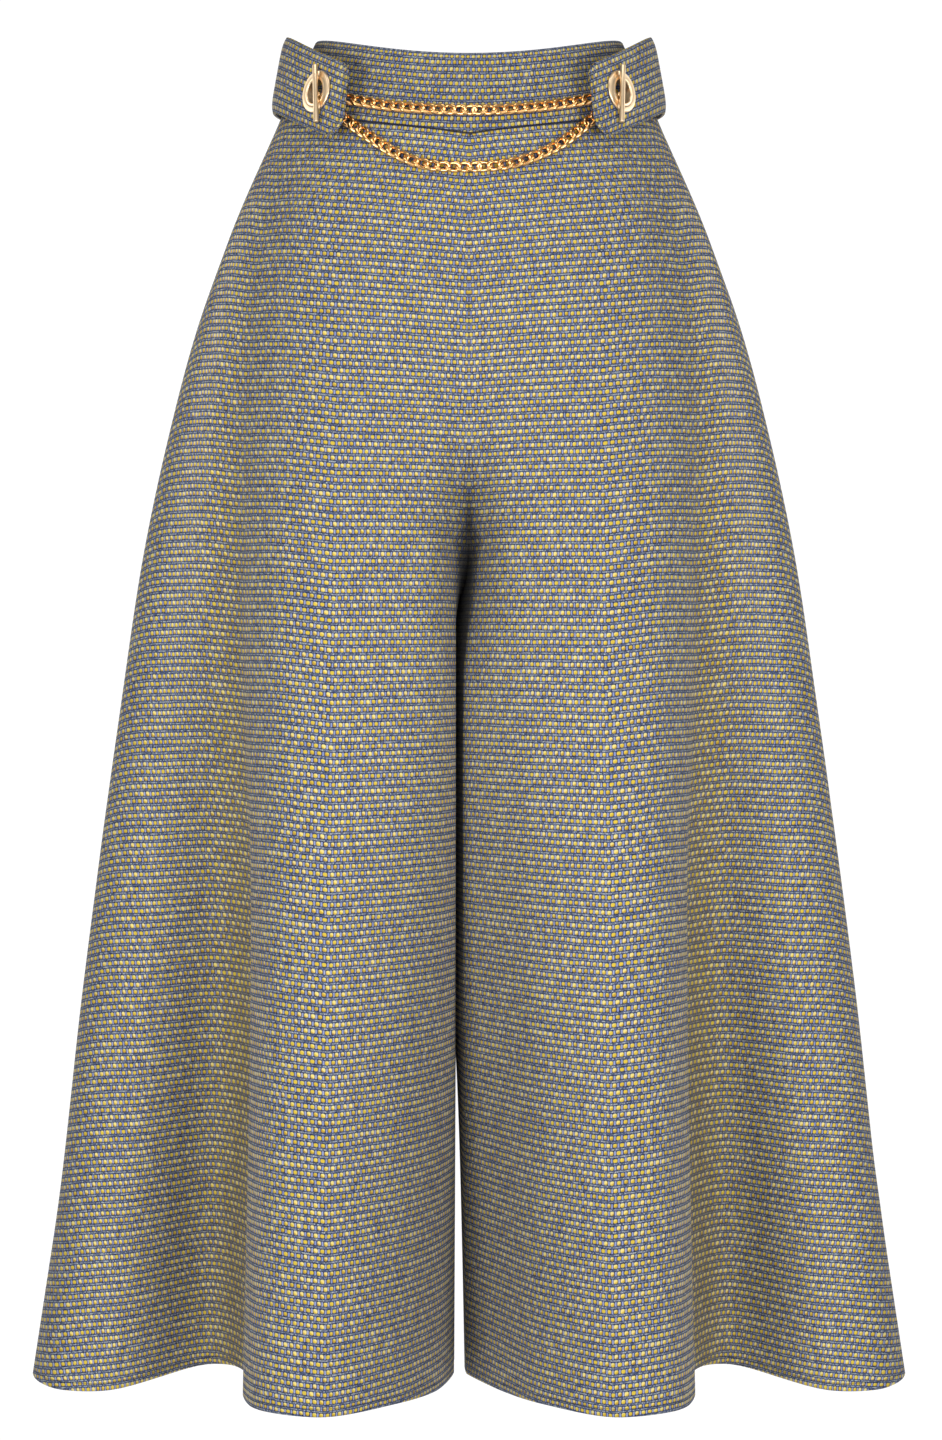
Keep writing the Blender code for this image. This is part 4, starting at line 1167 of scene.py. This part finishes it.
def toggle_place(side):
    place = eyelet_place(side)
    normal = place.to_3x3() @ Vector((0, 0, 1))
    upright = normal.cross(Vector((1, 0, -side * BAR_LEAN))).normalized()
    upright *= math.copysign(1, upright.z)
    across = upright.cross(normal)
    turned = Matrix((across, upright, normal)).transposed().to_4x4()
    pulled = across * side * BAR_SLIP + upright * BAR_SAG
    return Matrix.Translation(place.translation - pulled) @ turned


def round_rod(radius, length, sides, place, turn=(0.0, 0.0, 0.0)):
    """A round rod along its own Z, with both ends rounded."""
    size = {"vertices": sides, "radius": radius, "depth": length}
    bpy.ops.mesh.primitive_cylinder_add(**size, location=place, rotation=turn)
    made = bpy.context.object
    softened(made, min(radius * 0.45, length * 0.3))
    settled(made)
    return made


def toggle(side, hand, gold):
    """A bar across the ring, a collar and a stem through it, and the eye behind that the chains hook into."""
    quarter = math.radians(90)
    made = round_rod(BAR_RADIUS, BAR_LENGTH, BAR_SIDES, (0.0, 0.0, BAR_STAND), (quarter, 0.0, 0.0))
    made.name = f"toggle_{hand}_bar"
    stem_length = BAR_STAND + EYE_DEPTH
    stem = round_rod(STEM_RADIUS, stem_length, STEM_SIDES, (0.0, 0.0, BAR_STAND - stem_length / 2))
    collar_place = (0.0, 0.0, BAR_STAND - BAR_RADIUS - COLLAR_DROP)
    collar = round_rod(STEM_RADIUS * COLLAR_SHARE, COLLAR_HEIGHT, STEM_SIDES, collar_place)
    wire = EYE_THICKNESS / 2
    bpy.ops.mesh.primitive_torus_add(
        major_segments=EYE_SIDES,
        minor_segments=EYE_WIRE_SIDES,
        major_radius=EYE_RADIUS - wire,
        minor_radius=wire,
        location=(0.0, 0.0, -EYE_DEPTH),
    )
    eye = bpy.context.object
    for other in (stem, collar, eye):
        applied(made, "BOOLEAN", operation="UNION", object=other)
        bpy.data.objects.remove(other)
    bpy.ops.object.shade_smooth_by_angle(angle=math.radians(SMOOTH_DEGREES))
    made.data.materials.clear()
    made.data.materials.append(gold)
    settled(made, toggle_place(side))
    finished(made, f"toggle_{hand}")


# --- Chains

LINK_PITCH = 6.7 * MM
LINK_WIRE = 1.22 * MM
LINK_HALF_LENGTH = 4.4 * MM
LINK_HALF_WIDTH = 2.75 * MM
LINK_TWIST = math.radians(85)
LINK_FLAT, LINK_THICKER = 2.3 * MM, 1.15
LINK_SIDES, LINK_WIRE_SIDES, LINK_STRAIGHT = 32, 10, 0.6
CHAIN_TILT_UP = 4.0
CHAIN_FINENESS = 12
CHAIN_SWAPS_AT = 3.5 * MM
# The chains' routes from eye to eye, in mm
UPPER_CHAIN = table(
    "x y z",
    (-85.5, -83.7, -19.6),
    (-82.0, -84.9, -22.0),
    (-77.6, -86.6, -23.9),
    (-70.0, -89.4, -25.8),
    (-62.0, -92.3, -27.4),
    (-53.0, -95.7, -29.2),
    (-44.0, -98.8, -30.4),
    (-28.0, -103.2, -32.1),
    (-12.0, -105.4, -33.1),
    (3.5, -105.8, -33.4),
    (20.0, -104.7, -32.9),
    (39.0, -100.6, -31.0),
    (58.0, -93.8, -28.2),
    (68.0, -90.1, -26.2),
    (77.5, -86.6, -23.9),
    (82.0, -84.9, -22.0),
    (85.5, -83.7, -19.6),
)
LOWER_CHAIN = table(
    "x y z",
    (-86.8, -84.0, -26.0),
    (-85.2, -84.9, -30.8),
    (-82.0, -86.8, -34.8),
    (-77.0, -89.9, -39.1),
    (-68.5, -95.2, -45.8),
    (-59.5, -101.0, -52.6),
    (-50.5, -106.2, -58.8),
    (-41.5, -110.0, -63.9),
    (-32.5, -112.4, -67.6),
    (-23.5, -113.5, -69.6),
    (-14.5, -113.9, -70.4),
    (-5.5, -113.9, -70.6),
    (3.5, -113.8, -70.5),
    (12.0, -113.8, -70.1),
    (21.5, -113.4, -69.2),
    (30.0, -112.5, -67.4),
    (39.5, -110.6, -64.3),
    (48.0, -107.8, -60.4),
    (57.0, -103.1, -55.4),
    (66.0, -97.4, -48.5),
    (75.5, -90.9, -40.3),
    (81.6, -87.0, -34.4),
    (85.2, -84.9, -30.8),
    (86.8, -84.0, -26.0),
)


def curb_link():
    """One link: a ring of wire drawn out to an oval, twisted nearly a quarter turn and flattened. Returns its
    vertices and faces, along X and facing +Z."""
    bpy.ops.mesh.primitive_torus_add(
        major_segments=LINK_SIDES,
        minor_segments=LINK_WIRE_SIDES,
        major_radius=LINK_HALF_WIDTH,
        minor_radius=LINK_WIRE,
    )
    made = bpy.context.object
    straight = LINK_HALF_LENGTH - LINK_HALF_WIDTH
    for corner in made.data.vertices:
        corner.co.x += straight * max(-1.0, min(1.0, corner.co.x / (LINK_HALF_WIDTH * LINK_STRAIGHT)))
    applied(made, "SIMPLE_DEFORM", deform_method="TWIST", deform_axis="X", angle=LINK_TWIST)
    vertices = np.array([corner.co for corner in made.data.vertices])
    vertices[:, 2] = np.tanh(vertices[:, 2] / LINK_FLAT) * LINK_FLAT * LINK_THICKER
    faces = np.array([list(face.vertices) for face in made.data.polygons])
    bpy.data.objects.remove(made)
    return vertices, faces


def smooth_route(spots):
    """Points on a smooth curve through the route, in metres."""
    controls = [np.array(spot)[None] * MM for spot in spots]
    before, after = controls[0] * 2 - controls[1], controls[-1] * 2 - controls[-2]
    return np.concatenate(curve_through([before] + controls + [after], CHAIN_FINENESS))


def chain(name, spots, gold):
    """A curb chain whose links lie flat on the front, turned the other way past the middle."""
    fine = smooth_route(spots)
    run = np.concatenate([[0.0], np.cumsum(np.linalg.norm(np.diff(fine, axis=0), axis=1))])
    count = round(run[-1] / LINK_PITCH)

    def at(way):
        return np.array([np.interp(way, run, axis) for axis in fine.T])

    base, base_faces = curb_link()
    vertices, faces = [], []
    for number in range(count):
        way = run[-1] * (number + 0.5) / count
        centre = at(way)
        along = unit(at(way + LINK_PITCH / 2) - at(way - LINK_PITCH / 2))
        out = np.array((centre[0] / BAND_FOOT_SIDE**2, centre[1] / BAND_FOOT_FORE**2, CHAIN_TILT_UP))
        out = unit(out - along * (out @ along))
        up = np.cross(out, along)
        is_mirrored = centre[0] > CHAIN_SWAPS_AT
        link = base * np.array((1.0, -1.0 if is_mirrored else 1.0, 1.0))
        vertices.append(centre + link[:, :1] * along + link[:, 1:2] * up + link[:, 2:] * out)
        turned = base_faces[:, ::-1] if is_mirrored else base_faces
        faces.append(turned + number * len(base))
    made = mesh_of(f"{name}_links", np.concatenate(vertices), np.concatenate(faces), gold)
    finished(made, name)


def main():
    add_camera()
    add_room()
    bpy.context.scene.view_settings.view_transform = "Standard"
    tweed = tweed_finish()
    chain_gold = gold_finish("chain_gold", CHAIN_GOLD, CHAIN_GLOSS)
    ring_gold = gold_finish("ring_gold", RING_GOLD, RING_GLOSS)
    chain("chain_upper", UPPER_CHAIN, chain_gold)
    chain("chain_lower", LOWER_CHAIN, chain_gold)
    for is_front in (True, False):
        waistband(is_front, tweed)
    for side, hand in ((-1, "right"), (1, "left")):
        leg_panels(side, hand, tweed)
    belt(tweed)
    for side, hand in ((-1, "right"), (1, "left")):
        eyelet(side, hand, ring_gold)
        toggle(side, hand, ring_gold)
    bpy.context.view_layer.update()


main()
